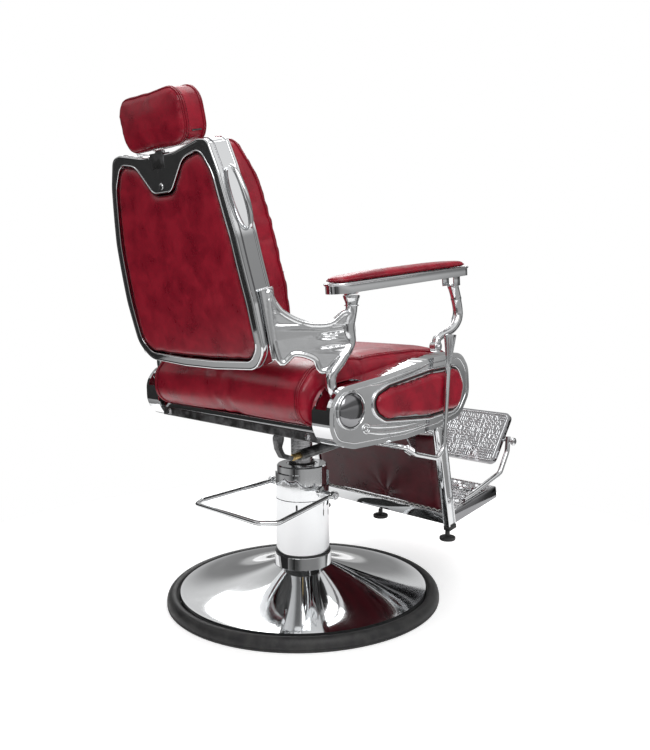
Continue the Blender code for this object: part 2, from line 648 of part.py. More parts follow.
def build_legrest():
    """Side bars hung on the axle, upholstered panel, chrome strip, step and rubber feet."""
    lean = (-LEG_LEAN, 0, 0)
    for name, sign in sides():
        bar = box("legrest_bar_" + name, (0.020, 0.030, 0.305), leg_point(sign * LEG_BAR_X, 0, 0.1415),
                  CHROME, lean)
        boolean(bar, cylinder("bar_hole_" + name, 0.0063, 0.06, (sign * LEG_BAR_X, *LEG_PIVOT), None,
                              (0, math.pi / 2, 0), 16))
    width = 2 * (LEG_BAR_X - 0.010 - GAP)
    panel = box("legrest_panel", (width, 0.022, 0.213), leg_point(0, -0.003, 0.1385), LEATHER, lean)
    bevel(panel, 0.004, 2)
    box("legrest_strip", (width, 0.004, 0.031), leg_point(0, -0.010, 0.2630), CHROME, lean)

    behind_and_down = [(0.0145, 0.034), (0.0145, 0.090), (0.030, 0.070), (0.0625, 0.000), (0.060, -0.016),
                       (0.048, -0.018)]
    crank = [leg_point(0, -behind, down).yz for behind, down in behind_and_down]
    plate("legrest_crank", [rounded_path(crank, 0.006, closed=True)], 0.005, STEEL,
          (STRUT_X - 0.0085, 0, 0), SIDE_VIEW)

    depth = 0.205
    step = box("lower_step", (0.470, depth, 0.034), leg_point(0, 0.0155 + depth / 2, 0.272), CHROME, lean)
    hollow = box("step_hollow", (0.462, depth - 0.008, 0.034), leg_point(0, 0.0155 + depth / 2, 0.276),
                 None, lean)
    boolean(step, hollow)
    feet = (("left", LEG_BAR_X), ("middle", 0), ("right", -LEG_BAR_X))
    for name, x in feet:
        place = leg_point(x, -0.012, 0.2950 if x else 0.2800)
        turned("bumper_foot_" + name, [(0, 0), (0.006, 0), (0.006, -0.014), (0.021, -0.016),
                                       (0.021, -0.022), (0.018, -0.025), (0, -0.025)], RUBBER, 20,
               location=place)


def build_step_arm(name, sign):
    """Bent tube from the step up to the pivot of the flip-over plate."""
    x = sign * 0.221
    tongue = leg_point(x, 0.130, 0.2462)
    path = rounded_path([leg_point(x, 0.085, 0.2475), tongue, (x, -0.560, 0.262),
                         (x, PLATE_PIVOT[0] + 0.004, PLATE_PIVOT[1] - 0.030),
                         (x, PLATE_PIVOT[0], PLATE_PIVOT[1] + 0.012)], [0, 0.05, 0.025, 0.03, 0])
    arm = tube("step_arm_" + name, path, 0.0072, CHROME)
    hole = cylinder("arm_hole_" + name, 0.0043, 0.05, (x, *PLATE_PIVOT), None, (0, math.pi / 2, 0), 16)
    boolean(arm, hole)


def build_footplate():
    """Flip-over plate: chrome face above, upholstery below, on two knobbed pivots."""
    tilt = (-PLATE_TILT, 0, 0)
    normal = Vector((0, math.sin(PLATE_TILT), math.cos(PLATE_TILT)))
    pivot = Vector((0, *PLATE_PIVOT))
    corners = [(-0.208, -0.080), (0.208, -0.080), (0.208, 0.080), (-0.208, 0.080)]
    outline = rounded_path(corners, 0.018, closed=True)
    top = plate("footplate", [outline], 0.012, CHROME, pivot + normal * 0.0062, tilt)
    bevel(top, 0.002, 1)
    pad = plate("footplate_pad", [inset(outline, 0.002)], 0.018, LEATHER, pivot - normal * 0.0091, tilt)
    bevel(pad, 0.006, 2)
    for name, sign in sides():
        start = 0.2060
        pin = cylinder("plate_knob_" + name, 0.0040, 0.036, (sign * (0.2086 + 0.018), *PLATE_PIVOT), CHROME,
                       (0, math.pi / 2, 0), 16)
        knob = turned("knob_head_" + name, [(0, 0.012), (0.007, 0.012), (0.0105, 0.009), (0.0105, 0.003),
                                            (0.007, 0), (0, 0)], None, 16,
                      location=(sign * (start + 0.0265), *PLATE_PIVOT), rotation=(0, sign * math.pi / 2, 0))
        boolean(pin, knob, "UNION")


build_base()
build_column()
build_pump_lever()
build_ram()
build_seat_frame()
build_seat_cushion()
build_recline_lever()
build_recline_strut()
build_back()
build_headrest()
build_legrest()
build_footplate()
for side_name, side_sign in sides():
    build_side(side_name, side_sign)
    build_back_handle(side_name, side_sign)
    build_arm_casting(side_name, side_sign)
    build_armrest(side_name, side_sign)
    build_front_post(side_name, side_sign)
    build_step_arm(side_name, side_sign)
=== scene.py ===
"""Looks of the hydraulic barber chair: fine surfaces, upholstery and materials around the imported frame."""
import json
import math
import random

import bmesh
import bpy
from mathutils import Matrix, Vector
from mathutils.bvhtree import BVHTree


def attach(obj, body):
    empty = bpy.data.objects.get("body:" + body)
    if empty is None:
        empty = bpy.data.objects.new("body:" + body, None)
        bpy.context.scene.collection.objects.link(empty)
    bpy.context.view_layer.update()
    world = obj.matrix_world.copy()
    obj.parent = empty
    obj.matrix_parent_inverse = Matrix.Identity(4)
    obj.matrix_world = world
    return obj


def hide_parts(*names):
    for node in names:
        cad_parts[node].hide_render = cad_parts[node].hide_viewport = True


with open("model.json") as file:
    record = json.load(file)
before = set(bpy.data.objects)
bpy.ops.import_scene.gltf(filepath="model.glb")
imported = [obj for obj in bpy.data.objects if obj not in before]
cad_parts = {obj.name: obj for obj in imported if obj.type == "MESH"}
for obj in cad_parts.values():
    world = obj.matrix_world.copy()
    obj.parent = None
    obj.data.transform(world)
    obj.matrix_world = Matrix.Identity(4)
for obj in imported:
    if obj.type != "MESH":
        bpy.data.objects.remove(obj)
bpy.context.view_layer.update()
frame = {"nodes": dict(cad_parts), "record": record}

random.seed(7)

# ---------------------------------------------------------------- driving dimensions, in metres
GAP = 0.0003
BASE_RADIUS = 0.350
RING_WIDTH = 0.034
RING_HEIGHT = 0.031
COVER_TOP = 0.088
COLUMN_RADIUS = 0.0685
COLUMN_SEAM = 0.263
COLUMN_TOP = 0.348
PISTON_RADIUS = 0.0275
PISTON_TOP = 0.430
PUMP_AXIS_Z = 0.284

SEAT_INNER = 0.292
SHELL_OUTER = 0.345
SEAT_BOTTOM = 0.5025
SEAT_TOP = 0.652
ARM_X = 0.330
CASTING_LEG_X = 0.3185

BACK_PIVOT = (0.175, 0.540)
BACK_LEAN = math.radians(12.2)
BACK_FOOT = (0.306, 0.620)
BAND_DEPTH = 0.055
BACK_BULGE = 0.010

ARM_LIFT = math.radians(5.2)
ARM_REAR_PIVOT = (0.155, 0.7872)
POST_FOOT = (-0.128, 0.655)
POST_HEAD = (-0.185, 0.8151)

LEG_PIVOT = (-0.262, 0.446)
LEG_LEAN = math.radians(10.0)
LEG_BAR_X = 0.235
PLATE_PIVOT = (-0.600, 0.350)
PLATE_TILT = math.radians(55.5)

LEVER_X = 0.372
LEVER_PIVOT = (0.030, 0.443)
SIDE_VIEW = (math.pi / 2, 0, math.pi / 2)

CAMERA_PLACE = (-1.535, 1.3956, 0.8036)
CAMERA_HEADING = math.radians(-133.974)
CAMERA_PITCH = math.radians(83.681)
CAMERA_ROLL = math.radians(-0.598)
CAMERA_LENS = 39.552


# ---------------------------------------------------------------- camera
def make_camera():
    """The camera stands behind the chair, to the sitter's right, and looks a little down."""
    data = bpy.data.cameras.new("camera")
    data.lens = CAMERA_LENS
    data.sensor_width = 36
    camera = bpy.data.objects.new("camera", data)
    turn = Matrix.Identity(4)
    for angle, axis in ((CAMERA_HEADING, "Z"), (CAMERA_PITCH, "X"), (CAMERA_ROLL, "Z")):
        turn = turn @ Matrix.Rotation(angle, 4, axis)
    camera.matrix_world = Matrix.Translation(CAMERA_PLACE) @ turn
    bpy.context.scene.collection.objects.link(camera)
    bpy.context.scene.camera = camera


make_camera()


# ---------------------------------------------------------------- material helpers
class Surface:
    """A node material with a Principled shader, and short ways to add nodes to it."""

    def __init__(self, name, slot, colour, metallic, roughness):
        self.slot = slot
        self.material = bpy.data.materials.new(name)
        self.material.use_nodes = True
        self.nodes = self.material.node_tree.nodes
        self.links = self.material.node_tree.links
        self.shader = self.nodes["Principled BSDF"]
        self.set(Base_Color=(*colour, 1), Metallic=metallic, Roughness=roughness)
        self.place = self.nodes.new("ShaderNodeTexCoord").outputs["Object"]

    def set(self, **values):
        for key, value in values.items():
            self.shader.inputs[key.replace("_", " ")].default_value = value

    def join(self, source, socket):
        self.links.new(source, self.shader.inputs[socket] if isinstance(socket, str) else socket)

    def stretched(self, scale):
        mapping = self.nodes.new("ShaderNodeMapping")
        mapping.inputs["Scale"].default_value = scale
        self.links.new(self.place, mapping.inputs["Vector"])
        return mapping.outputs["Vector"]

    def noise(self, scale, detail=4.0, roughness=0.55, place=None, distortion=0.0):
        node = self.nodes.new("ShaderNodeTexNoise")
        node.inputs["Scale"].default_value = scale
        node.inputs["Detail"].default_value = detail
        node.inputs["Roughness"].default_value = roughness
        node.inputs["Distortion"].default_value = distortion
        self.links.new(place or self.place, node.inputs["Vector"])
        return node.outputs["Fac"]

    def cells(self, scale, feature="F1", place=None):
        node = self.nodes.new("ShaderNodeTexVoronoi")
        node.feature = feature
        node.inputs["Scale"].default_value = scale
        self.links.new(place or self.place, node.inputs["Vector"])
        return node.outputs["Distance"]

    def ramp(self, source, stops):
        node = self.nodes.new("ShaderNodeValToRGB")
        elements = node.color_ramp.elements
        while len(elements) < len(stops):
            elements.new(0.5)
        for element, (position, colour) in zip(elements, stops):
            element.position = position
            element.color = colour if len(colour) == 4 else (*colour, 1)
        self.links.new(source, node.inputs["Fac"])
        return node.outputs["Color"]

    def spread(self, source, low, high, start=0.0, end=1.0):
        node = self.nodes.new("ShaderNodeMapRange")
        node.inputs["From Min"].default_value = start
        node.inputs["From Max"].default_value = end
        node.inputs["To Min"].default_value = low
        node.inputs["To Max"].default_value = high
        self.links.new(source, node.inputs["Value"])
        return node.outputs["Result"]

    def math(self, operation, first, second):
        node = self.nodes.new("ShaderNodeMath")
        node.operation = operation
        for socket, value in zip(node.inputs, (first, second)):
            if isinstance(value, (int, float)):
                socket.default_value = value
            else:
                self.links.new(value, socket)
        return node.outputs["Value"]

    def mix(self, factor, first, second, blend="MIX"):
        node = self.nodes.new("ShaderNodeMix")
        node.data_type = "RGBA"
        node.blend_type = blend
        for socket, value in zip((node.inputs[0], node.inputs[6], node.inputs[7]), (factor, first, second)):
            if isinstance(value, (int, float)):
                socket.default_value = value
            elif isinstance(value, tuple):
                socket.default_value = (*value, 1)
            else:
                self.links.new(value, socket)
        return node.outputs[2]

    def bump(self, height, distance, strength=1.0, below=None):
        node = self.nodes.new("ShaderNodeBump")
        node.inputs["Strength"].default_value = strength
        node.inputs["Distance"].default_value = distance
        self.links.new(height, node.inputs["Height"])
        if below:
            self.links.new(below, node.inputs["Normal"])
        self.links.new(node.outputs["Normal"], self.shader.inputs["Normal"])
        return node.outputs["Normal"]

    def edges(self, low, high):
        """A mask of the convex edges, from the geometry's pointiness."""
        node = self.nodes.new("ShaderNodeNewGeometry")
        return self.spread(node.outputs["Pointiness"], 0, 1, low, high)


def chrome_surface(name, tone=(0.80, 0.81, 0.82), haze=0.045, slot="chrome"):
    """Mirror plate with faint wiping marks, fine hairlines and a painted highlight that makes the convex
    edges slightly brighter.
    """
    chrome = Surface(name, slot, tone, 1.0, haze)
    smears = chrome.noise(7, 5, 0.6, chrome.stretched((1, 1, 2.2)), 0.6)
    hairlines = chrome.noise(900, 2, 0.5, chrome.stretched((0.03, 1, 1)))
    haze_map = chrome.math("ADD", chrome.spread(smears, haze * 0.5, haze * 2.4, 0.35, 0.75),
                           chrome.spread(hairlines, 0, haze * 0.35, 0.5, 0.8))
    chrome.join(haze_map, "Roughness")
    shade = chrome.ramp(smears, [(0.25, tuple(0.90 * c for c in tone)), (0.7, tone)])
    # Painted highlight: the convex edges get a slightly brighter base colour than the plate.
    edge_wear_and_highlight = chrome.mix(chrome.edges(0.52, 0.62), shade, tuple(min(1, 1.12 * c) for c in tone))
    chrome.join(edge_wear_and_highlight, "Base Color")
    chrome.bump(chrome.noise(28, 3), 0.0004, 0.12)
    return chrome


def cast_chrome_surface():
    """Plated casting: the surface waves a little, and its hollows are painted darker as shade."""
    chrome = Surface("cast_chrome", "chrome", (0.78, 0.79, 0.80), 1.0, 0.12)
    wave = chrome.noise(42, 3, 0.5)
    grit = chrome.noise(420, 3, 0.6)
    chrome.join(chrome.spread(wave, 0.06, 0.22, 0.3, 0.7), "Roughness")
    # Painted shade: concave hollows get a much darker base colour than the rest of the plating.
    hollow = chrome.edges(0.42, 0.50)
    chrome.join(chrome.mix(hollow, (0.42, 0.42, 0.43), (0.82, 0.83, 0.84)), "Base Color")
    below = chrome.bump(wave, 0.0012, 0.35)
    chrome.bump(grit, 0.0003, 0.25, below)
    return chrome


def leather_surface(name, light, dark, gloss=0.30, grain=1.0):
    """Marbled upholstery leather: cloudy colour, pebbled grain with creases darkened a little by painted
    shade, and a lacquered sheen.
    """
    leather = Surface(name, "red_leather", light, 0.0, gloss)
    leather.set(Coat_Weight=0.14, Coat_Roughness=0.16, Specular_IOR_Level=0.42)
    clouds = leather.noise(19, 5, 0.58, None, 0.3)
    flecks = leather.noise(70, 4, 0.6)
    colour = leather.ramp(clouds, [(0.24, dark), (0.44, tuple((a + b) / 2 for a, b in zip(light, dark))),
                                   (0.60, light)])
    crease_shade = tuple(0.45 * c for c in dark)
    colour = leather.mix(leather.spread(flecks, 0.0, 0.30, 0.45, 0.75), colour, dark)
    pebble = leather.cells(620)
    crease = leather.cells(300, "DISTANCE_TO_EDGE", leather.stretched((1, 1.2, 0.8)))
    groove = leather.spread(crease, 0.0, 1.0, 0.0, 0.10)
    # Painted shade: the crease lines are darkened a little towards a deeper red.
    colour = leather.mix(leather.spread(groove, 0.05, 0.0), colour, crease_shade)
    leather.join(colour, "Base Color")
    leather.join(leather.spread(clouds, gloss * 0.8, gloss * 1.45, 0.3, 0.7), "Roughness")
    soft = leather.noise(24, 3, 0.5)
    below = leather.bump(soft, 0.002, 0.06)
    below = leather.bump(groove, 0.0002, 0.20 * grain, below)
    leather.bump(pebble, 0.0002, 0.20 * grain, below)
    return leather


def rubber_surface():
    """Moulded rubber: nearly black, slightly dusty, fine mould grain."""
    rubber = Surface("moulded_rubber", "black_rubber", (0.02, 0.02, 0.021), 0.0, 0.48)
    dust = rubber.noise(34, 6, 0.65)
    black = (0.014, 0.014, 0.015)
    dusty = (0.045, 0.044, 0.043)
    rubber.join(rubber.ramp(dust, [(0.4, black), (0.75, dusty)]), "Base Color")
    rubber.join(rubber.spread(dust, 0.38, 0.62, 0.3, 0.7), "Roughness")
    rubber.bump(rubber.noise(800, 2), 0.0002, 0.4)
    return rubber


def enamel_surface(name="black_enamel", slot="black_paint", tone=0.022):
    """Black enamel with orange peel, and grey where the edges have rubbed."""
    enamel = Surface(name, slot, (tone,) * 3, 0.1, 0.32)
    enamel.set(Coat_Weight=0.4, Coat_Roughness=0.2)
    patches = enamel.noise(48, 5)
    edge_wear_and_highlight = enamel.math("MULTIPLY", enamel.edges(0.53, 0.60), enamel.spread(patches, 0, 1, 0.45, 0.65))
    enamel.join(enamel.mix(edge_wear_and_highlight, (tone,) * 3, (0.16, 0.16, 0.165)), "Base Color")
    enamel.join(enamel.spread(patches, 0.25, 0.45, 0.3, 0.7), "Roughness")
    enamel.bump(enamel.noise(260, 2), 0.0003, 0.25)
    return enamel


def steel_surface():
    """Ground steel with fine turning lines."""
    steel = Surface("ground_steel", "brushed_steel", (0.58, 0.58, 0.59), 1.0, 0.24)
    lines = steel.noise(260, 3, 0.6, steel.stretched((0.06, 0.06, 3.0)))
    steel.join(steel.spread(lines, 0.16, 0.36, 0.3, 0.7), "Roughness")
    steel.join(steel.ramp(lines, [(0.3, (0.42, 0.42, 0.43)), (0.7, (0.64, 0.64, 0.65))]), "Base Color")
    steel.bump(lines, 0.0002, 0.3)
    return steel


def brass_surface():
    """Yellow fitting, a little tarnished."""
    brass = Surface("brass_fitting", "brass", (0.72, 0.52, 0.22), 1.0, 0.28)
    tarnish = brass.noise(90, 5)
    brass.join(brass.ramp(tarnish, [(0.35, (0.38, 0.25, 0.10)), (0.6, (0.78, 0.58, 0.26))]), "Base Color")
    brass.join(brass.spread(tarnish, 0.45, 0.2, 0.3, 0.7), "Roughness")
    return brass


def iron_surface():
    """Rough casting under the base."""
    iron = Surface("sand_cast_iron", "cast_iron", (0.09, 0.09, 0.09), 0.5, 0.6)
    grit = iron.noise(150, 6, 0.7)
    iron.join(iron.ramp(grit, [(0.35, (0.05, 0.05, 0.05)), (0.7, (0.14, 0.13, 0.12))]), "Base Color")
    iron.bump(grit, 0.001, 0.6)
    return iron


def plywood_surface():
    """Seat board with birch grain."""
    wood = Surface("birch_plywood", "plywood", (0.50, 0.34, 0.18), 0.0, 0.6)
    grain = wood.noise(26, 6, 0.6, wood.stretched((1.0, 9.0, 9.0)), 1.5)
    wood.join(wood.ramp(grain, [(0.35, (0.36, 0.22, 0.11)), (0.65, (0.58, 0.41, 0.24))]), "Base Color")
    wood.bump(grain, 0.0004, 0.4)
    return wood


def thread_surface():
    """Twisted dark red upholstery thread."""
    thread = Surface("upholstery_thread", "red_leather", (0.10, 0.006, 0.012), 0.0, 0.55)
    twist = thread.noise(1500, 2)
    thread.join(thread.ramp(twist, [(0.4, (0.05, 0.003, 0.006)), (0.6, (0.16, 0.010, 0.02))]), "Base Color")
    thread.bump(twist, 0.0003, 0.5)
    return thread


def lacing_surface():
    """Waxed off-white cord."""
    lacing = Surface("waxed_lacing", "red_leather", (0.72, 0.70, 0.66), 0.0, 0.5)
    twist = lacing.noise(1200, 2)
    lacing.join(lacing.ramp(twist, [(0.35, (0.50, 0.47, 0.43)), (0.6, (0.80, 0.78, 0.74))]), "Base Color")
    lacing.bump(twist, 0.0003, 0.4)
    return lacing


CRIMSON = (0.400, 0.006, 0.026)
MAROON = (0.200, 0.003, 0.015)
CHROME = chrome_surface("mirror_chrome")
# Painted shade: a darker copy of the mirror chrome stands in for dark reflections on the pivot domes, the
# band groove, the step tray and the flip plate.
SHADED_CHROME = chrome_surface("shaded_chrome", (0.30, 0.30, 0.31), 0.05)
CAST = cast_chrome_surface()
LEATHER = leather_surface("marbled_leather", CRIMSON, MAROON)
PIPING = leather_surface("piping_leather", tuple(0.8 * c for c in CRIMSON), MAROON, 0.22, 0.5)
DARK_LEATHER = leather_surface("dark_leather", (0.105, 0.004, 0.011), (0.045, 0.002, 0.005), 0.30)
RUBBER = rubber_surface()
ENAMEL = enamel_surface()
STEEL = steel_surface()
BRASS = brass_surface()
IRON = iron_surface()
PLYWOOD = plywood_surface()
THREAD = thread_surface()
LACING = lacing_surface()
BY_SLOT = {"chrome": CHROME, "red_leather": LEATHER, "black_rubber": RUBBER, "cast_iron": IRON,
           "black_paint": ENAMEL, "brass": BRASS, "brushed_steel": STEEL, "plywood": PLYWOOD}


def finish_cad_nodes():
    """Give every carried-over CAD node the fine material of its slot."""
    for entry in frame["record"]["subparts"]:
        node = frame["nodes"].get(entry["node"])
        if node is None:
            continue
        surface = BY_SLOT[entry["material_slot"]].material
        if not node.material_slots:
            node.data.materials.append(surface)
        for holder in node.material_slots:
            holder.material = surface


finish_cad_nodes()


# ---------------------------------------------------------------- mesh helpers
def add_piece(solid, surface, body, replaces=()):
    """Finish a piece: its material, the body it rides on and the CAD nodes it stands for."""
    solid.data.materials.clear()
    solid.data.materials.append(surface.material)
    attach(solid, body)
    if replaces:
        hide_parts(*replaces)
    return solid


def new_object(name, mesh):
    solid = bpy.data.objects.new(name, mesh)
    bpy.context.scene.collection.objects.link(solid)
    return solid


def from_bmesh(name, shape):
    mesh = bpy.data.meshes.new(name)
    shape.to_mesh(mesh)
    shape.free()
    return new_object(name, mesh)


def shade(solid, degrees=35):
    solid.data.shade_smooth()
    solid.data.set_sharp_from_angle(angle=math.radians(degrees))
    return solid


def freeze(solid):
    """Apply the modifiers and the placement: the mesh then holds the world coordinates."""
    bpy.context.view_layer.update()
    evaluated = solid.evaluated_get(bpy.context.evaluated_depsgraph_get())
    mesh = bpy.data.meshes.new_from_object(evaluated)
    mesh.transform(solid.matrix_world)
    solid.modifiers.clear()
    solid.matrix_world = Matrix()
    solid.data = mesh
    return solid


def boolean(target, tool, operation="DIFFERENCE"):
    """Cut the tool out of the target, or join it on; the tool is used up."""
    modifier = target.modifiers.new("boolean", "BOOLEAN")
    modifier.operation = operation
    modifier.solver = "EXACT"
    modifier.object = tool
    freeze(target)
    bpy.data.objects.remove(tool, do_unlink=True)
    return target


def round_edges(solid, width, segments=4, degrees=40):
    modifier = solid.modifiers.new("rounded_edges", "BEVEL")
    modifier.width = width
    modifier.segments = segments
    modifier.limit_method = "ANGLE"
    modifier.angle_limit = math.radians(degrees)
    modifier.harden_normals = False
    return shade(freeze(solid), 50)


def melt(solid, voxel, passes=6, factor=0.5):
    """Merge overlapping shapes into one skin and soften it, as a casting's fillets are."""
    remesh = solid.modifiers.new("skin", "REMESH")
    remesh.mode = "VOXEL"
    remesh.voxel_size = voxel * 1
    smooth = solid.modifiers.new("softened", "SMOOTH")
    smooth.factor = factor
    smooth.iterations = passes
    freeze(solid)
    solid.data.shade_smooth()
    return solid


def join(solids, name):
    """Put several meshes in one object."""
    shape = bmesh.new()
    for solid in solids:
        freeze(solid)
        shape.from_mesh(solid.data)
        bpy.data.objects.remove(solid, do_unlink=True)
    return from_bmesh(name, shape)


def rounded_path(points, radius, closed=False, segments=8):
    """Replace each corner of a path with an arc; works in two or three dimensions."""
    corners = [Vector(point) for point in points]
    count = len(corners)
    radii = radius if isinstance(radius, (list, tuple)) else [radius] * count
    path = []
    for index, corner in enumerate(corners):
        if not closed and index in (0, count - 1):
            path.append(corner)
            continue
        before = corners[index - 1] - corner
        after = corners[(index + 1) % count] - corner
        half_angle = before.angle(after) / 2
        if half_angle > math.radians(88) or radii[index] == 0:
            path.append(corner)
            continue
        reach = min(radii[index] / math.tan(half_angle), 0.48 * before.length, 0.48 * after.length)
        arc_radius = reach * math.tan(half_angle)
        start = corner + before.normalized() * reach
        end = corner + after.normalized() * reach
        inward = (before.normalized() + after.normalized()).normalized()
        centre = corner + inward * (arc_radius / math.sin(half_angle))
        for step in range(segments + 1):
            spoke = (start - centre).normalized().slerp((end - centre).normalized(), step / segments)
            path.append(centre + spoke * arc_radius)
    return path


def smooth_path(points, per_span=8, closed=False):
    """A Catmull-Rom curve through the points."""
    knots = [Vector(point) for point in points]
    count = len(knots)
    path = []
    spans = count if closed else count - 1
    for index in range(spans):
        a = knots[index - 1] if closed or index else knots[0] * 2 - knots[1]
        b = knots[index]
        c = knots[(index + 1) % count]
        d = c * 2 - b if index + 2 >= count and not closed else knots[(index + 2) % count]
        for step in range(per_span):
            t = step / per_span
            path.append(0.5 * (2 * b + (c - a) * t + (2 * a - 5 * b + 4 * c - d) * t ** 2
                               + (3 * b - a - 3 * c + d) * t ** 3))
    if not closed:
        path.append(knots[-1])
    return path


def even_path(path, spacing, closed=True):
    """The same path with evenly spaced points."""
    points = [Vector(point) for point in path]
    if closed:
        points.append(points[0])
    lengths = [0.0]
    for first, second in zip(points, points[1:]):
        lengths.append(lengths[-1] + (second - first).length)
    count = max(8, round(lengths[-1] / spacing))
    steps = count if closed else count + 1
    result = []
    index = 0
    for step in range(steps):
        target = lengths[-1] * step / count
        while index < len(points) - 2 and lengths[index + 1] < target:
            index += 1
        span = lengths[index + 1] - lengths[index]
        share = (target - lengths[index]) / span if span else 0
        result.append(points[index].lerp(points[index + 1], min(1, max(0, share))))
    return result


def inset(outline, distance):
    """Move a dense closed counter-clockwise outline inwards."""
    count = len(outline)
    moved = []
    for index, point in enumerate(outline):
        along = outline[(index + 1) % count] - outline[index - 1]
        normal = Vector((-along.y, along.x)).normalized()
        moved.append(Vector((point.x, point.y)) + normal * distance)
    return moved


def curve_object(name, outlines, dimensions, cyclic, radii=None):
    data = bpy.data.curves.new(name + "_curve", "CURVE")
    data.dimensions = dimensions
    for outline in outlines:
        spline = data.splines.new("POLY")
        spline.points.add(len(outline) - 1)
        for index, point in enumerate(outline):
            spline.points[index].co = (*tuple(point), *(0,) * (3 - len(point)), 1)
            if radii:
                spline.points[index].radius = radii[index]
        spline.use_cyclic_u = cyclic
    return new_object(name, data)


def curve_mesh(curve, name):
    """Make a curve a mesh in world coordinates."""
    bpy.context.view_layer.update()
    evaluated = curve.evaluated_get(bpy.context.evaluated_depsgraph_get())
    mesh = bpy.data.meshes.new_from_object(evaluated)
    mesh.transform(curve.matrix_world)
    shape = bmesh.new()
    shape.from_mesh(mesh)
    bmesh.ops.remove_doubles(shape, verts=shape.verts, dist=0.00001)
    bmesh.ops.recalc_face_normals(shape, faces=shape.faces)
    bpy.data.objects.remove(curve, do_unlink=True)
    return from_bmesh(name, shape)


def plate(name, outlines, thickness, location=(0, 0, 0), rotation=(0, 0, 0)):
    """A flat outline, with holes if more than one is given, thickened both ways."""
    curve = curve_object(name, outlines, "2D", True)
    curve.data.fill_mode = "BOTH"
    curve.data.extrude = thickness / 2
    curve.location = location
    curve.rotation_euler = rotation
    return shade(curve_mesh(curve, name))


def tube(name, points, radius, resolution=6, radii=None, cyclic=False):
    """A round bar along a path; radii scale it point by point."""
    curve = curve_object(name, [points], "3D", cyclic, radii)
    curve.data.bevel_depth = radius
    curve.data.bevel_resolution = resolution
    curve.data.use_fill_caps = not cyclic
    return shade(curve_mesh(curve, name), 60)


def block(name, size, location, rotation=(0, 0, 0), edge=0.0015, segments=3):
    """A block with softened edges."""
    shape = bmesh.new()
    bmesh.ops.create_cube(shape, size=1)
    bmesh.ops.scale(shape, vec=size, verts=shape.verts)
    solid = from_bmesh(name, shape)
    solid.location = location
    solid.rotation_euler = rotation
    return round_edges(solid, edge, segments) if edge else freeze(solid)


def turned(name, profile, steps=96, ring=False, location=(0, 0, 0), rotation=(0, 0, 0)):
    """Turn a profile of (radius, height) points about Z."""
    count = len(profile)
    edges = [(index, index + 1) for index in range(count - 1)]
    if ring:
        edges.append((count - 1, 0))
    mesh = bpy.data.meshes.new(name)
    mesh.from_pydata([(radius, 0, height) for radius, height in profile], edges, [])
    solid = new_object(name, mesh)
    screw = solid.modifiers.new("turned", "SCREW")
    screw.steps = steps
    screw.render_steps = steps
    screw.use_merge_vertices = True
    screw.merge_threshold = 0.00001
    solid.location = location
    solid.rotation_euler = rotation
    freeze(solid)
    return shade(solid, 32)


def hexagon_bolt(name, place, direction, radius=0.0065, height=0.0045, washer=True):
    """A hexagon head with a chamfered top, and a washer unless it is left off."""
    turn = Vector(direction).to_track_quat("Z", "Y").to_euler()
    head = [(0, height), (radius * 0.82, height), (radius, height * 0.78), (radius, 0), (0, 0)]
    parts = [turned(name + "_head", head, 6, False, place, turn)]
    if washer:
        rim = [(0, 0.0011), (radius * 1.38, 0.0011), (radius * 1.48, 0.0006), (radius * 1.48, 0), (0, 0)]
        parts.append(turned(name + "_washer", rim, 32, False, place, turn))
    solid = join(parts, name)
    return shade(solid, 25)


def sides():
    return (("left", 1), ("right", -1))


# ---------------------------------------------------------------- upholstery helpers
def surface_tree(solid):
    shape = bmesh.new()
    shape.from_mesh(solid.data)
    tree = BVHTree.FromBMesh(shape)
    shape.free()
    return tree


def puff(solid, cap, voxel=0.005, pressure=4.0, limit=None, ironing=8, calm=0.65):
    """Voxel skin, blown up by cloth pressure, calmed and capped in its motion, then subdivided once."""
    remesh = solid.modifiers.new("skin", "REMESH")
    remesh.mode = "VOXEL"
    remesh.voxel_size = voxel * 1
    soften = solid.modifiers.new("softened", "SMOOTH")
    soften.factor = 0.5
    soften.iterations = 3
    freeze(solid)
    rest = [vertex.co.copy() for vertex in solid.data.vertices]
    normals = [vertex.normal.copy() for vertex in solid.data.vertices]
    cloth = solid.modifiers.new("blown_up", "CLOTH")
    cloth.settings.use_pressure = True
    cloth.settings.uniform_pressure_force = pressure
    cloth.settings.effector_weights.gravity = 0
    cloth.settings.quality = 5
    for moment in range(1, 21):
        bpy.context.scene.frame_set(moment)
    freeze(solid)
    bpy.context.scene.frame_set(1)
    for vertex, start, normal in zip(solid.data.vertices, rest, normals):
        even = normal * cap * 0.6
        offset = (vertex.co - start).lerp(even, calm)
        if offset.length > cap:
            offset *= cap / offset.length
        place = start + offset
        vertex.co = limit(place) if limit else place
    smooth = solid.modifiers.new("evened", "SMOOTH")
    smooth.factor = 0.5
    smooth.iterations = ironing
    finer = solid.modifiers.new("finer", "SUBSURF")
    finer.levels = 1
    finer.render_levels = finer.levels
    freeze(solid)
    solid.data.shade_smooth()
    return solid


def lay_on(path, tree, lift):
    """Move each point of a path onto the upholstery's skin."""
    laid = []
    for point in path:
        nearest, normal, _, _ = tree.find_nearest(Vector(point))
        laid.append(nearest + normal * lift)
    return laid


def smoothed(path, rounds=2):
    """Even out small jumps in a closed path."""
    points = list(path)
    for _ in range(rounds):
        points = [(points[index - 1] + points[index] * 2 + points[(index + 1) % len(points)]) / 4
                  for index in range(len(points))]
    return points


def piping(name, path, tree, body, radius=0.0022, surface=PIPING, lift=0.35):
    """A piping roll round a cushion, laid on its skin."""
    route = smoothed(lay_on(even_path(path, 0.004), tree, radius * lift))
    return add_piece(tube(name, route, radius, 4, cyclic=True), surface, body)


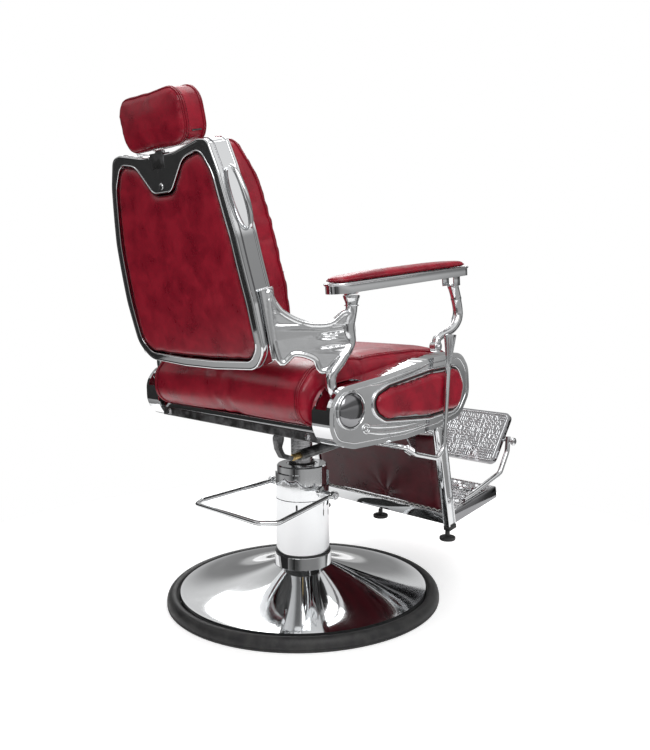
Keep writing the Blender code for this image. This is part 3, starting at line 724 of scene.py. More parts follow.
def stitches(name, path, tree, body, pitch=0.006, closed=True, lift=0.0004):
    """A row of separate thread stitches."""
    route = lay_on(even_path(path, pitch, closed), tree, lift)
    runs = []
    count = len(route) if closed else len(route) - 1
    for index in range(count):
        start = route[index]
        end = start.lerp(route[(index + 1) % len(route)], 0.68)
        runs.append([start, start.lerp(end, 0.5), end])
    curve = curve_object(name, runs, "3D", False)
    curve.data.bevel_depth = 0.00045
    curve.data.bevel_resolution = 1
    curve.data.use_fill_caps = True
    return add_piece(curve_mesh(curve, name), THREAD, body)


# ---------------------------------------------------------------- places on the moving bodies
def back_point(x, height, depth):
    """World place of a point of the back: depth is forwards from the rear face, which is bowed."""
    share = (height - 0.235) / 0.235
    depth = depth - BACK_BULGE * (1 - share ** 2)
    y = BACK_FOOT[0] - depth * math.cos(BACK_LEAN) + height * math.sin(BACK_LEAN)
    z = BACK_FOOT[1] + depth * math.sin(BACK_LEAN) + height * math.cos(BACK_LEAN)
    return Vector((x, y, z))


def flat_back_point(x, height, depth):
    """The same without the bow."""
    y = BACK_FOOT[0] - depth * math.cos(BACK_LEAN) + height * math.sin(BACK_LEAN)
    z = BACK_FOOT[1] + depth * math.sin(BACK_LEAN) + height * math.cos(BACK_LEAN)
    return Vector((x, y, z))


def leg_point(x, forward, down):
    """World place of a footrest point, measured forwards and down from its hinge."""
    y = LEG_PIVOT[0] - forward * math.cos(LEG_LEAN) - down * math.sin(LEG_LEAN)
    z = LEG_PIVOT[1] + forward * math.sin(LEG_LEAN) - down * math.cos(LEG_LEAN)
    return Vector((x, y, z))


LEG_DOWN = (leg_point(0, 0, 1) - leg_point(0, 0, 0)).normalized()
LEG_FORWARD = (leg_point(0, 1, 0) - leg_point(0, 0, 0)).normalized()
BACK_UP = (flat_back_point(0, 1, 0) - flat_back_point(0, 0, 0)).normalized()
BACK_FRONT = (flat_back_point(0, 0, 1) - flat_back_point(0, 0, 0)).normalized()


# ---------------------------------------------------------------- base and pump column
def cover_height(radius):
    top_radius = COLUMN_RADIUS + 0.006
    rim_radius = BASE_RADIUS - RING_WIDTH
    share = min(1, max(0, (radius - top_radius) / (rim_radius - top_radius)))
    return RING_HEIGHT + (COVER_TOP - RING_HEIGHT) * (1 - share) ** 1.7


def make_base():
    """Spun chrome cover with a rolled foot at the column, and the grooved rubber ring."""
    wall = 0.0025
    top_radius = COLUMN_RADIUS + 0.006
    rim = BASE_RADIUS - RING_WIDTH - GAP
    outer = [(top_radius - 0.001, COVER_TOP - 0.004), (top_radius, COVER_TOP)]
    for step in range(1, 41):
        radius = top_radius + (rim - top_radius) * (step / 40) ** 1.3
        outer.append((radius, cover_height(radius)))
    inner = [(radius, height - wall) for radius, height in reversed(outer[1:-1])]
    skirt = [(rim, 0.012 + GAP), (rim - wall, 0.012 + GAP), (rim - wall, RING_HEIGHT - wall)]
    add_piece(turned("base_dome", outer + skirt + inner, 160, True), CHROME, "base", ["base_cover"])

    middle = BASE_RADIUS - RING_WIDTH / 2
    half = RING_WIDTH / 2
    profile = []
    for step in range(25):
        angle = math.pi * step / 24
        dip = 0.0022 * math.exp(-((step - 6) / 1.1) ** 2)
        profile.append((middle - (half - dip) * math.cos(angle), 0.008 + (0.023 - dip) * math.sin(angle)))
    profile += [(BASE_RADIUS - 0.0012, 0.0062), (BASE_RADIUS - 0.0012, 0.0052), (BASE_RADIUS, 0.0042),
                (BASE_RADIUS - 0.0005, 0.0012), (BASE_RADIUS - 0.002, 0), (BASE_RADIUS - RING_WIDTH, 0)]
    add_piece(turned("rubber_ring", profile, 160, True), RUBBER, "base", ["base_ring"])


def make_column():
    """Collar with its dark seal, polished sleeve, stepped pump head, cap and pivot bosses."""
    collar = COLUMN_RADIUS + 0.0045
    bore = COLUMN_RADIUS - 0.005
    add_piece(turned("foot_collar", [(collar - 0.0025, 0.1195), (collar - 0.0008, 0.1187), (collar, 0.117),
                                     (collar, 0.060), (collar + 0.0010, 0.058), (collar + 0.0010, 0.052),
                                     (collar, 0.050), (collar, 0.040), (bore, 0.040), (bore, 0.1195)],
                     128, True), CHROME, "base", ["column_collar"])
    add_piece(turned("collar_seal", [(collar - 0.0022, 0.1238), (collar - 0.0014, 0.1228),
                                     (collar - 0.0014, 0.1198), (bore, 0.1198), (bore, 0.1238)], 128, True),
              RUBBER, "base")
    sleeve = [(COLUMN_RADIUS - 0.0008, COLUMN_SEAM - GAP), (COLUMN_RADIUS, COLUMN_SEAM - 0.0011),
              (COLUMN_RADIUS, 0.1242), (bore + 0.001, 0.1242), (bore + 0.001, COLUMN_SEAM - GAP)]
    add_piece(turned("polished_sleeve", sleeve, 128, True), CHROME, "base", ["column_sleeve"])
    head = turned("pump_head", [(COLUMN_RADIUS - 0.001, 0.329), (COLUMN_RADIUS, 0.328),
                                (COLUMN_RADIUS, COLUMN_SEAM + 0.001), (COLUMN_RADIUS - 0.001, COLUMN_SEAM),
                                (bore + 0.001, COLUMN_SEAM), (bore + 0.001, 0.329)], 128, True)
    boolean(head, block("head_step", (0.2, 0.100, 0.066), (0, 0, 0.329), edge=0))
    add_piece(shade(head, 30), CHROME, "base", ["column_head"])
    cap = COLUMN_RADIUS - 0.0045
    hole = PISTON_RADIUS + 0.0005
    add_piece(turned("pump_cap", [(hole, COLUMN_TOP - 0.001), (hole + 0.001, COLUMN_TOP), (0.036, COLUMN_TOP),
                                  (0.0365, COLUMN_TOP - 0.0015), (0.040, COLUMN_TOP - 0.0015),
                                  (0.0405, COLUMN_TOP), (cap - 0.003, COLUMN_TOP), (cap, COLUMN_TOP - 0.003),
                                  (cap, COLUMN_SEAM + 0.004), (cap - 0.006, COLUMN_SEAM + 0.004),
                                  (cap - 0.006, COLUMN_TOP - 0.010), (hole, COLUMN_TOP - 0.010)], 128, True),
              CHROME, "base", ["column_cap"])
    for name, sign in sides():
        turn = (0, sign * math.pi / 2, 0)
        start = COLUMN_RADIUS - 0.008
        length = 0.1095 - start
        boss = [(0, length), (0.0052, length), (0.0062, length - 0.001), (0.0062, 0.016), (0.0125, 0.014),
                (0.0135, 0.012), (0.0135, 0), (0, 0)]
        add_piece(turned("pump_boss_" + name, boss, 48, False, (sign * start, 0, PUMP_AXIS_Z), turn),
                  CHROME, "base")
    # Painted shade: a black block on the sleeve stands for the dark inside of the valve slot.
    slot = block("valve_slot_shade", (0.0045, 0.004, 0.020), (-0.0395, 0.0555, 0.245),
                 (0, 0, math.radians(35.4)), 0.0015)
    add_piece(slot, RUBBER, "base")


def make_pump_lever():
    """Bent rod with eyes, hexagon nuts and a rounded end."""
    eye_x = 0.1165
    right = [(-eye_x, -0.010, PUMP_AXIS_Z), (-eye_x, 0.025, PUMP_AXIS_Z - 0.002),
             (-0.146, 0.208, 0.264), (-0.118, 0.246, 0.266)]
    left = [(-x, y, z) for x, y, z in reversed(right)]
    bends = [0, 0.03, 0.02, 0.02, 0.02, 0.02, 0.03, 0]
    rod = tube("lever_rod", rounded_path(right + left, bends, segments=12), 0.0058, 8)
    parts = [rod]
    for name, sign in sides():
        half = [(0, 0.0065), (0.0095, 0.0065), (0.0105, 0.0055)]
        eye = half + [(radius, -height) for radius, height in reversed(half)]
        hub = (sign * eye_x, 0, PUMP_AXIS_Z)
        parts.append(turned("eye_" + name, eye, 40, False, hub, (0, math.pi / 2, 0)))
    lever = melt(join(parts, "foot_lever"), 0.0011, 3)
    add_piece(lever, CHROME, "pump_lever", ["pump_lever"])
    for name, sign in sides():
        nut_place = (sign * (eye_x + 0.0064), 0, PUMP_AXIS_Z)
        bolt = hexagon_bolt("lever_nut_" + name, nut_place, (sign, 0, 0), 0.0068, 0.005)
        add_piece(bolt, STEEL, "pump_lever")


def make_ram():
    """Ground piston with a scraper ring."""
    top = PISTON_TOP
    rod = [(0, top), (PISTON_RADIUS - 0.002, top), (PISTON_RADIUS, top - 0.002), (PISTON_RADIUS, 0.060),
           (0, 0.060)]
    add_piece(turned("ground_ram", rod, 96), STEEL, "ram", ["piston"])
    wiper = [(PISTON_RADIUS + 0.0062, COLUMN_TOP + 0.0004), (PISTON_RADIUS + 0.005, COLUMN_TOP + 0.0035),
             (PISTON_RADIUS + 0.0006, COLUMN_TOP + 0.0045), (PISTON_RADIUS + 0.0006, COLUMN_TOP + 0.0004)]
    add_piece(turned("ram_wiper", list(reversed(wiper)), 64, True), RUBBER, "base")


# ---------------------------------------------------------------- seat sides
def shell_outline():
    corners = [(0.165, 0.456), (0.218, 0.470), (0.236, 0.505), (0.236, 0.555), (0.205, 0.590),
               (0.080, 0.604), (-0.080, 0.630), (-0.205, 0.639), (-0.236, 0.600), (-0.240, 0.535),
               (-0.205, 0.485), (-0.120, 0.466), (0.000, 0.455)]
    return even_path(rounded_path(corners, 0.05, closed=True), 0.004)


def pad_outline():
    corners = [(0.070, 0.508), (0.104, 0.528), (0.106, 0.562), (0.060, 0.580), (-0.080, 0.601),
               (-0.185, 0.605), (-0.208, 0.560), (-0.190, 0.506), (-0.080, 0.497)]
    return even_path(rounded_path(corners, 0.03, closed=True), 0.004)


def on_side(outline, x):
    return [(x, point.x, point.y) for point in outline]


def bulge_side(solid, sign, skin=False):
    """Bow a piece of the side outwards, most in the middle of the shell; the inner parts of a skin stay."""
    for vertex in solid.data.vertices:
        if skin and sign * vertex.co.x < SHELL_OUTER - 0.010:
            continue
        reach = (vertex.co.y / 0.25) ** 2 + ((vertex.co.z - 0.547) / 0.105) ** 2
        vertex.co.x += sign * 0.0036 * max(0, 1 - reach)
    return solid


def grid_faces(solid, spacing):
    """Cut large flat faces into a fine grid, so that they can be bowed."""
    shape = bmesh.new()
    shape.from_mesh(solid.data)
    lows = [min(vertex.co[axis] for vertex in shape.verts) for axis in (1, 2)]
    highs = [max(vertex.co[axis] for vertex in shape.verts) for axis in (1, 2)]
    for axis, low, high in zip((1, 2), lows, highs):
        normal = Vector((0, 0, 0))
        normal[axis] = 1
        for step in range(1, int((high - low) / spacing)):
            place = Vector((0, 0, 0))
            place[axis] = low + step * spacing
            geometry = shape.verts[:] + shape.edges[:] + shape.faces[:]
            bmesh.ops.bisect_plane(shape, geom=geometry, plane_co=place, plane_no=normal)
    shape.to_mesh(solid.data)
    shape.free()
    return solid


def make_side(name, sign):
    """Side shell: plated skin with rolled edges, beaded insert, domed cap and cast ornaments."""
    wall = 0.004
    outline = shell_outline()
    width = SHELL_OUTER - SEAT_INNER
    centre = (SEAT_INNER + SHELL_OUTER) / 2
    shell = round_edges(plate("skin_" + name, [outline], width, (sign * centre, 0, 0), SIDE_VIEW), 0.009, 6)
    hollow = plate("hollow_" + name, [inset(outline, wall)], width, (sign * (centre - wall), 0, 0), SIDE_VIEW)
    boolean(shell, hollow)
    boolean(shell, block("slot_" + name, (0.034, 0.170, 0.080), (sign * 0.318, 0.212, 0.585), edge=0))
    bulge_side(grid_faces(shell, 0.012), sign, True)
    add_piece(shade(shell, 30), CHROME, "seat", ["side_shell_" + name])

    face = sign * (SHELL_OUTER + GAP)
    pad_place = (face + sign * 0.005, 0, 0)
    pad = plate("pad_core_" + name, [inset(pad_outline(), 0.0035)], 0.009, pad_place, SIDE_VIEW)
    low = SHELL_OUTER + GAP
    high = SHELL_OUTER + 0.0165

    def limit(place):
        place.x = sign * min(high, max(low, sign * place.x))
        return place
    freeze(pad)
    pad.name = "side_insert_" + name
    bulge_side(puff(pad, 0.010, 0.004, 5.0, limit), sign)
    add_piece(pad, LEATHER, "seat", ["side_pad_" + name])
    rim = pad_outline()
    groove = on_side(inset(rim, 0.0008), face + sign * 0.0008)
    shadow = tube("insert_shadow_" + name, groove, 0.0022, 4, cyclic=True)
    add_piece(bulge_side(shadow, sign), ENAMEL, "seat")
    bead = inset(rim, -0.0045)
    bead_roll = tube("insert_bead_" + name, on_side(bead, face + sign * 0.0012), 0.0030, 6, cyclic=True)
    add_piece(bulge_side(bead_roll, sign), CHROME, "seat")
    inner = inset(outline, 0.012)
    edge_roll = tube("shell_bead_" + name, on_side(inner, face - sign * 0.0002), 0.0013, 4, cyclic=True)
    add_piece(bulge_side(edge_roll, sign), CHROME, "seat")

    dome = [(0, 0.0132), (0.010, 0.0128), (0.020, 0.0112), (0.028, 0.0086), (0.0335, 0.0052), (0.036, 0.0024),
            (0.0365, 0.0006), (0, 0.0006)]
    cap = turned("pivot_dome_" + name, dome, 96, False, (face, *BACK_PIVOT), (0, sign * math.pi / 2, 0))
    # The domed cap gets the darker chrome copy: painted shade.
    add_piece(bulge_side(cap, sign), SHADED_CHROME, "seat", ["pivot_cap_" + name])
    ring = [(0.0372, 0.0030), (0.0385, 0.0042), (0.0402, 0.0042), (0.0414, 0.0030), (0.0414, 0.0004),
            (0.0372, 0.0004)]
    collar = turned("dome_ring_" + name, list(reversed(ring)), 96, True, (face, *BACK_PIVOT),
                    (0, sign * math.pi / 2, 0))
    add_piece(bulge_side(collar, sign), CHROME, "seat")
    make_shell_ornaments(name, sign)


def leaf(name, stem, width, x, thickness):
    """A raised leaf along a curved stem in the side view, thick in the middle, thin at both ends."""
    path = smooth_path([Vector(point) for point in stem], 6)
    count = len(path)
    swell = [math.sin(math.pi * (0.06 + 0.88 * index / (count - 1))) for index in range(count)]
    radii = [max(0.12, level ** 0.7) for level in swell]
    solid = tube(name, [(0, point.x, point.y) for point in path], width, 6, radii)
    for vertex in solid.data.vertices:
        vertex.co.x = x + vertex.co.x * thickness / width
    return solid


def make_shell_ornaments(name, sign):
    """Raised scroll leaves behind the insert, and a spiral scroll."""
    x = sign * (SHELL_OUTER + GAP)
    curls = [
        [(0.128, 0.500), (0.098, 0.496), (0.060, 0.492), (0.010, 0.489), (-0.040, 0.488)],
        [(0.122, 0.486), (0.085, 0.480), (0.040, 0.477), (-0.020, 0.477), (-0.080, 0.481)],
        [(0.118, 0.588), (0.080, 0.590), (0.035, 0.597), (-0.020, 0.606), (-0.070, 0.615)],
    ]
    parts = [leaf(f"curl_{index}_{name}", stem, 0.0052, x, 0.0026) for index, stem in enumerate(curls)]
    scroll = []
    for step in range(26):
        angle = 0.5 * step
        radius = 0.0135 * (1 - step / 30)
        scroll.append((x, 0.128 + radius * math.cos(angle), 0.494 + radius * math.sin(angle)))
    parts.append(tube("scroll_" + name, scroll, 0.0016, 5))
    add_piece(bulge_side(join(parts, "scroll_leaf_" + name), sign), CAST, "seat")


# ---------------------------------------------------------------- seat
def make_seat_cushion():
    """Seat cushion: cloth-blown block with rolled front and rear, double piping at both sides."""
    half = SEAT_INNER - 0.003
    corners = [(-0.212, SEAT_BOTTOM + 0.004), (0.222, SEAT_BOTTOM + 0.004), (0.256, 0.530), (0.255, 0.582),
               (0.216, 0.622), (0.120, SEAT_TOP - 0.016), (-0.120, SEAT_TOP - 0.012), (-0.230, 0.634),
               (-0.266, 0.598), (-0.262, 0.527)]
    outline = rounded_path(corners, 0.035, closed=True)
    core = plate("seat_core", [outline], 2 * (half - 0.008), (0, 0, 0), SIDE_VIEW)
    core = round_edges(core, 0.012, 3)
    core.name = "seat_upholstery"

    def limit(place):
        place.x = min(half, max(-half, place.x))
        place.z = max(SEAT_BOTTOM + 0.0002, place.z)
        return place
    puff(core, 0.014, 0.007, 4.0, limit)
    tree = surface_tree(core)
    add_piece(core, LEATHER, "seat", ["seat_cushion"])
    seam = even_path(rounded_path(corners, 0.035, closed=True), 0.006)
    for name, sign in sides():
        for index, offset in enumerate((0.0160, 0.0225)):
            path = on_side(inset(seam, -0.012), sign * (half - offset))
            piping(f"seat_piping_{name}_{index}", path, tree, "seat", 0.0024)
        path = on_side(inset(seam, -0.012), sign * (half - 0.0290))
        stitches("seat_stitching_" + name, path, tree, "seat")


def make_under_seat():
    """Bolt heads on the frame plate and the front cross bar."""
    for name, sign in sides():
        for row, y in (("front", -0.115), ("rear", 0.150)):
            place = (sign * 0.150, y, 0.4622)
            bolt = hexagon_bolt(f"frame_bolt_{row}_{name}", place, (0, 0, -1), 0.008, 0.005)
            add_piece(bolt, STEEL, "seat")
        bolt = hexagon_bolt("cross_bar_bolt_" + name, (sign * 0.262, 0.2210, 0.479), (0, 1, 0), 0.006, 0.004)
        add_piece(bolt, STEEL, "seat")


def make_seat_trim():
    """Chrome strip along the rear of the seat between cushion and cross bar; dust cloth under the board."""
    half = SEAT_INNER - 0.004
    strip = block("rear_trim_strip", (2 * half, 0.0030, 0.0120), (0, 0.2185, 0.4962), edge=0.0010)
    add_piece(strip, CHROME, "seat")
    cloth = block("dust_cover", (0.532, 0.432, 0.0115), (0, -0.020, 0.4965), edge=0.0012)
    add_piece(cloth, ENAMEL, "seat", ["seat_board"])


def make_recline_lever():
    """Ribbed ferrule, bent round rod and a fluted grip, flattened to an oval, that flares to its end."""
    y, z = LEVER_PIVOT
    corners = [(-0.155, y, z), (-LEVER_X, y, z), (-LEVER_X, y - 0.035, z - 0.020),
               (-LEVER_X, -0.080, 0.402), (-LEVER_X, -0.106, 0.421), (-LEVER_X, -0.122, 0.610)]
    path = even_path(rounded_path(corners, [0, 0.008, 0.02, 0.02, 0.03, 0], segments=12), 0.003, False)
    lever = tube("bent_rod", path, 0.0056, 8)
    add_piece(lever, CHROME, "recline_lever", ["recline_lever"])
    foot = Vector((-LEVER_X, -0.1213, 0.600))
    along = Vector((0, -0.016, 0.189)).normalized()
    rows = [(0.0, 0.0075), (0.004, 0.0082), (0.010, 0.0072), (0.030, 0.0092), (0.060, 0.0135),
            (0.078, 0.0188),
            (0.083, 0.0205), (0.085, 0.0196)]
    radii = [radius for _, radius in rows]
    grip = tube("hand_grip", [foot + along * reach for reach, _ in rows], 1.0, 12, radii)
    for vertex in grip.data.vertices:
        vertex.co.x = -LEVER_X + (vertex.co.x + LEVER_X) * 0.46
    flutes = []
    for index in range(-2, 3):
        start = foot + along * 0.018 + Vector((0, index * 0.0022, 0))
        end = foot + along * 0.079 + Vector((0, index * 0.0066, 0))
        for face in (-1, 1):
            reach = (0.0042, 0.0084)
            spread = math.sqrt(max(0, 1 - (index / 2.9) ** 2))
            line = [start + Vector((face * reach[0] * spread, 0, 0)),
                    end + Vector((face * reach[1] * spread, 0, 0))]
            flutes.append(tube(f"flute_{index}_{face}", line, 0.0010, 3))
    add_piece(join([grip] + flutes, "fluted_grip"), CHROME, "recline_lever")
    ribs = [(0, 0.022)]
    for index in range(5):
        base = 0.020 - index * 0.004
        ribs += [(0.0082, base + 0.001), (0.0092, base), (0.0092, base - 0.0012), (0.0080, base - 0.002)]
    ribs += [(0.0075, 0), (0, 0)]
    direction = Vector((0, -0.035, -0.020)).normalized()
    turn = direction.to_track_quat("Z", "Y").to_euler()
    ferrule = turned("ribbed_ferrule", ribs, 40, False, Vector((-LEVER_X, y - 0.004, z - 0.002)), turn)
    add_piece(ferrule, CHROME, "recline_lever")


# ---------------------------------------------------------------- back
def back_outline():
    right = [(0.060, -0.002), (0.200, 0.006), (0.238, 0.045), (0.240, 0.150), (0.228, 0.290),
             (0.202, 0.420), (0.180, 0.480), (0.150, 0.484), (0.060, 0.468)]
    left = [(-x, z) for x, z in reversed(right)]
    radii = [0.05, 0.05, 0.05, 0.2, 0.2, 0.1, 0.022, 0.03, 0.1]
    return even_path(rounded_path(right + left, radii + list(reversed(radii)), closed=True), 0.004)


def panel_outline():
    right = [(0.060, 0.018), (0.190, 0.024), (0.219, 0.055), (0.220, 0.150), (0.209, 0.285),
             (0.184, 0.415), (0.152, 0.464), (0.092, 0.454), (0.034, 0.390)]
    left = [(-x, z) for x, z in reversed(right)]
    radii = [0.05, 0.04, 0.04, 0.2, 0.2, 0.08, 0.03, 0.05, 0.03]
    return even_path(rounded_path(right + left, radii + list(reversed(radii)), closed=True), 0.004)


def back_plate(name, outlines, front, rear):
    """A bowed plate of the back between two depths."""
    solid = plate(name, outlines, front - rear)
    for vertex in solid.data.vertices:
        vertex.co = back_point(vertex.co.x, vertex.co.y, (front + rear) / 2 + vertex.co.z)
    return solid


def on_back(outline, depth):
    return [back_point(point.x, point.y, depth) for point in outline]


def make_back_frame():
    """Chrome frame with a beaded rim, a dark chrome rod of painted shade where a groove runs round the side
    band, and a bead at the panel.
    """
    ring = back_plate("frame_ring", [back_outline(), panel_outline()], BAND_DEPTH, 0)
    add_piece(round_edges(ring, 0.0035, 4), CHROME, "back", ["back_frame"])

    outline = back_outline()
    gap = [index for index, point in enumerate(outline) if abs(point.x) < 0.028 and point.y > 0.4]
    start = gap[-1] + 1
    open_rim = [outline[(start + step) % len(outline)] for step in range(len(outline) - len(gap))]
    rim = [back_point(point.x, point.y, 0.0028) for point in inset_open(open_rim, 0.0022)]
    add_piece(tube("rear_rim_bead", rim, 0.0036, 6), CHROME, "back")
    # Painted shade: a dark chrome rod round the side band stands for the shadow in a groove; no groove is
    # cut.
    band = [back_point(point.x, point.y, 0.0150) for point in inset_open(open_rim, 0.0004)]
    add_piece(tube("band_groove_shade", band, 0.0018, 5), SHADED_CHROME, "back")
    band = [back_point(point.x, point.y, 0.0485) for point in inset_open(open_rim, 0.0010)]
    add_piece(tube("front_rim_bead", band, 0.0026, 5), CHROME, "back")
    opening = inset(panel_outline(), -0.0012)
    add_piece(tube("panel_bead", on_back(opening, 0.0002), 0.0017, 5, cyclic=True), CHROME, "back")


def inset_open(points, distance):
    """Move an open counter-clockwise path inwards."""
    count = len(points)
    moved = []
    for index, point in enumerate(points):
        along = points[min(index + 1, count - 1)] - points[max(index - 1, 0)]
        normal = Vector((-along.y, along.x)).normalized()
        moved.append(Vector((point.x, point.y)) + normal * distance)
    return moved


def make_back_panel():
    """Upholstered rear panel let into the frame, gently crowned, with an edge seam."""
    core = back_plate("panel_core", [inset(panel_outline(), 0.0022)], 0.0150, 0.0040)
    freeze(core)
    core.name = "rear_upholstery"
    puff(core, 0.0045, 0.0040, 4.0, None, 14)
    add_piece(core, LEATHER, "back", ["back_panel"])
    tree = surface_tree(core)
    edge = on_back(inset(panel_outline(), 0.0026), 0.002)
    piping("rear_panel_edge", edge, tree, "back", 0.0016, DARK_LEATHER, 0.2)


def cushion_depth(height):
    """How far forwards the back cushion's face stands at a height along the back."""
    knots = ((-0.010, 0.102), (0.050, 0.108), (0.120, 0.113), (0.190, 0.117), (0.290, 0.120), (0.390, 0.117),
             (0.490, 0.094))
    for (low, near), (high, far) in zip(knots, knots[1:]):
        if height <= high:
            return near + (far - near) * max(0, height - low) / (high - low)
    return knots[-1][1]


def make_back_cushion():
    """Front cushion of the back, fullest at the loins, with piping at the band and round its face."""
    core = back_plate("cushion_core", [inset(back_outline(), 0.009)], 0.165, BAND_DEPTH + 0.003)
    rear = BAND_DEPTH - 0.030
    profile = [flat_back_point(0, -0.020, rear).yz]
    for step in range(26):
        height = -0.010 + 0.5 * step / 25
        profile.append(flat_back_point(0, height, cushion_depth(height) - 0.012).yz)
    profile.append(flat_back_point(0, 0.490, rear).yz)
    boolean(core, plate("cushion_profile", [list(reversed(profile))], 0.6, (0, 0, 0), SIDE_VIEW), "INTERSECT")
    round_edges(core, 0.014, 3)
    core.name = "back_upholstery"

    def limit(place):
        height = (place - flat_back_point(0, 0, 0)).dot(BACK_UP)
        lowest = back_point(0, height, BAND_DEPTH + GAP)
        depth = (place - lowest).dot(BACK_FRONT)
        if depth < 0:
            place = place - BACK_FRONT * depth
        return place
    puff(core, 0.012, 0.0065, 4.0, limit)
    add_piece(core, LEATHER, "back", ["back_cushion"])
    tree = surface_tree(core)
    edge = inset(back_outline(), 0.004)
    piping("back_piping_rear", on_back(edge, 0.061), tree, "back", 0.0024)
    face = [flat_back_point(point.x, point.y, cushion_depth(point.y) - 0.020) for point in edge]
    piping("back_piping_front", face, tree, "back", 0.0026)
    face = [flat_back_point(point.x, point.y, cushion_depth(point.y) - 0.012) for point in inset(edge, 0.002)]
    stitches("back_stitching", face, tree, "back")


def make_back_handle(name, sign):
    """Half-moon grab cup: a rolled rim on the side band."""
    points = []
    for step in range(25):
        angle = math.pi * step / 24
        height = 0.360 - 0.062 * math.cos(angle)
        band = 0.240 - 0.085 * max(0, height - 0.15) ** 1.25 * 2.4
        points.append(flat_back_point(sign * (band + 0.009 + 0.019 * math.sin(angle)), height, 0.026))
    count = len(points)
    radii = [0.8 + 0.5 * math.sin(math.pi * index / (count - 1)) for index in range(count)]
    rim = tube("grab_rim_" + name, points, 0.0050, 6, radii)
    add_piece(rim, CHROME, "back", ["back_handle_" + name])


def casting_x(y):
    share = (0.300 - y) / (0.300 - 0.170)
    return 0.2475 + (ARM_X - 0.2475) * min(1, max(0, share))


def make_arm_casting(name, sign):
    """Saddle-shaped casting melted into one skin, with rolled rims and bolts in its foot."""
    web_outline = [(0.312, 0.786), (0.285, 0.748), (0.245, 0.724), (0.200, 0.722), (0.172, 0.744),
                   (0.156, 0.730), (0.152, 0.690), (0.180, 0.645), (0.214, 0.622), (0.228, 0.648),
                   (0.262, 0.660), (0.290, 0.648)]
    outline = smooth_path([Vector(point) for point in web_outline], 6, closed=True)
    web = plate("web_" + name, [list(reversed(outline))], 0.009)
    shape = bmesh.new()
    shape.from_mesh(web.data)
    bmesh.ops.triangulate(shape, faces=shape.faces)
    bmesh.ops.subdivide_edges(shape, edges=shape.edges, cuts=2)
    shape.to_mesh(web.data)
    shape.free()
    for vertex in web.data.vertices:
        flat = vertex.co.copy()
        vertex.co = (sign * (casting_x(flat.x) + flat.z), flat.x, flat.y)
    parts = [web]
    edge = [(sign * casting_x(point.x), point.x, point.y) for point in outline]
    parts.append(tube("web_rim_" + name, edge, 0.0066, 5, cyclic=True))
    bends = [(0.154, 0.7795), (0.154, 0.752), (0.161, 0.715), (0.154, 0.680), (0.178, 0.645), (0.204, 0.615),
             (0.200, 0.580), (0.176, 0.545)]
    leg = smooth_path([Vector(point) for point in bends], 6)
    path = []
    radii = []
    for index, point in enumerate(leg):
        rise = min(1, max(0, (point.y - 0.610) / 0.120))
        path.append((sign * (CASTING_LEG_X + (ARM_X - CASTING_LEG_X) * rise), point.x, point.y))
        flare = 0.52 * math.exp(-((point.y - 0.780) / 0.012) ** 2)
        radii.append(0.98 + 0.10 * rise + flare)
    parts.append(tube("post_" + name, path, 0.0118, 6, radii))
    parts.append(block("foot_" + name, (0.0085, 0.034, 0.150), flat_back_point(sign * 0.2453, 0.100, 0.028),
                       (-BACK_LEAN, 0, 0), 0.002))
    casting = melt(join(parts, "saddle_casting_" + name), 0.0014, 8)
    add_piece(casting, CAST, "back", ["arm_casting_" + name])
    for index, height in enumerate((0.050, 0.086, 0.150)):
        place = flat_back_point(sign * 0.2495, height, 0.028)
        bolt = hexagon_bolt(f"casting_bolt_{index}_{name}", place, (sign, 0, 0), 0.0052, 0.0042, False)
        add_piece(bolt, CHROME, "back")
    collar = [(0.0150, 0.0024), (0.0160, 0.0012), (0.0150, 0), (0.0110, 0), (0.0110, 0.0024)]
    ring = turned("post_collar_" + name, list(reversed(collar)), 48, True, (sign * ARM_X, 0.154, 0.757))
    add_piece(ring, CHROME, "back")


# ---------------------------------------------------------------- headrest
def make_headrest():
    """Rounded headrest with double piping round both faces and its zip."""
    width, depth, height = 0.240, 0.076, 0.118
    centre = flat_back_point(0, 0.5390, 0.031)
    face = [(-width / 2, -height / 2), (width / 2, -height / 2), (width / 2, height / 2),
            (-width / 2, height / 2)]
    frame_turn = Matrix.Translation(centre) @ Matrix.Rotation(-BACK_LEAN, 4, "X")

    def placed(outline, forward):
        return [frame_turn @ Vector((point.x, -forward, point.y)) for point in outline]
    outline = rounded_path(face, 0.043, closed=True, segments=10)
    core = plate("headrest_core", [inset(even_path(outline, 0.004), 0.006)], depth - 0.016)
    core.matrix_world = frame_turn @ Matrix.Rotation(math.pi / 2, 4, "X")
    freeze(core)
    round_edges(core, 0.012, 4)
    core.name = "headrest_upholstery"
    puff(core, 0.009, 0.004, 5.0)
    add_piece(core, LEATHER, "headrest", ["headrest_pad"])
    tree = surface_tree(core)
    seam = even_path(outline, 0.004)
    for index, forward in enumerate((-0.0265, -0.0215, 0.0215, 0.0265)):
        piping(f"headrest_piping_{index}", placed(seam, forward), tree, "headrest", 0.0021)
    stitches("headrest_stitching", placed(seam, -0.0170), tree, "headrest", 0.005)
    strip = []
    for step in range(12):
        share = step / 11
        strip.append(frame_turn @ Vector((-width / 2 + 0.004, 0.010 - 0.024 * share, -height / 2 + 0.022)))
    zip_path = lay_on(strip, tree, 0.0002)
    add_piece(tube("headrest_zip", zip_path, 0.0018, 3), ENAMEL, "headrest")


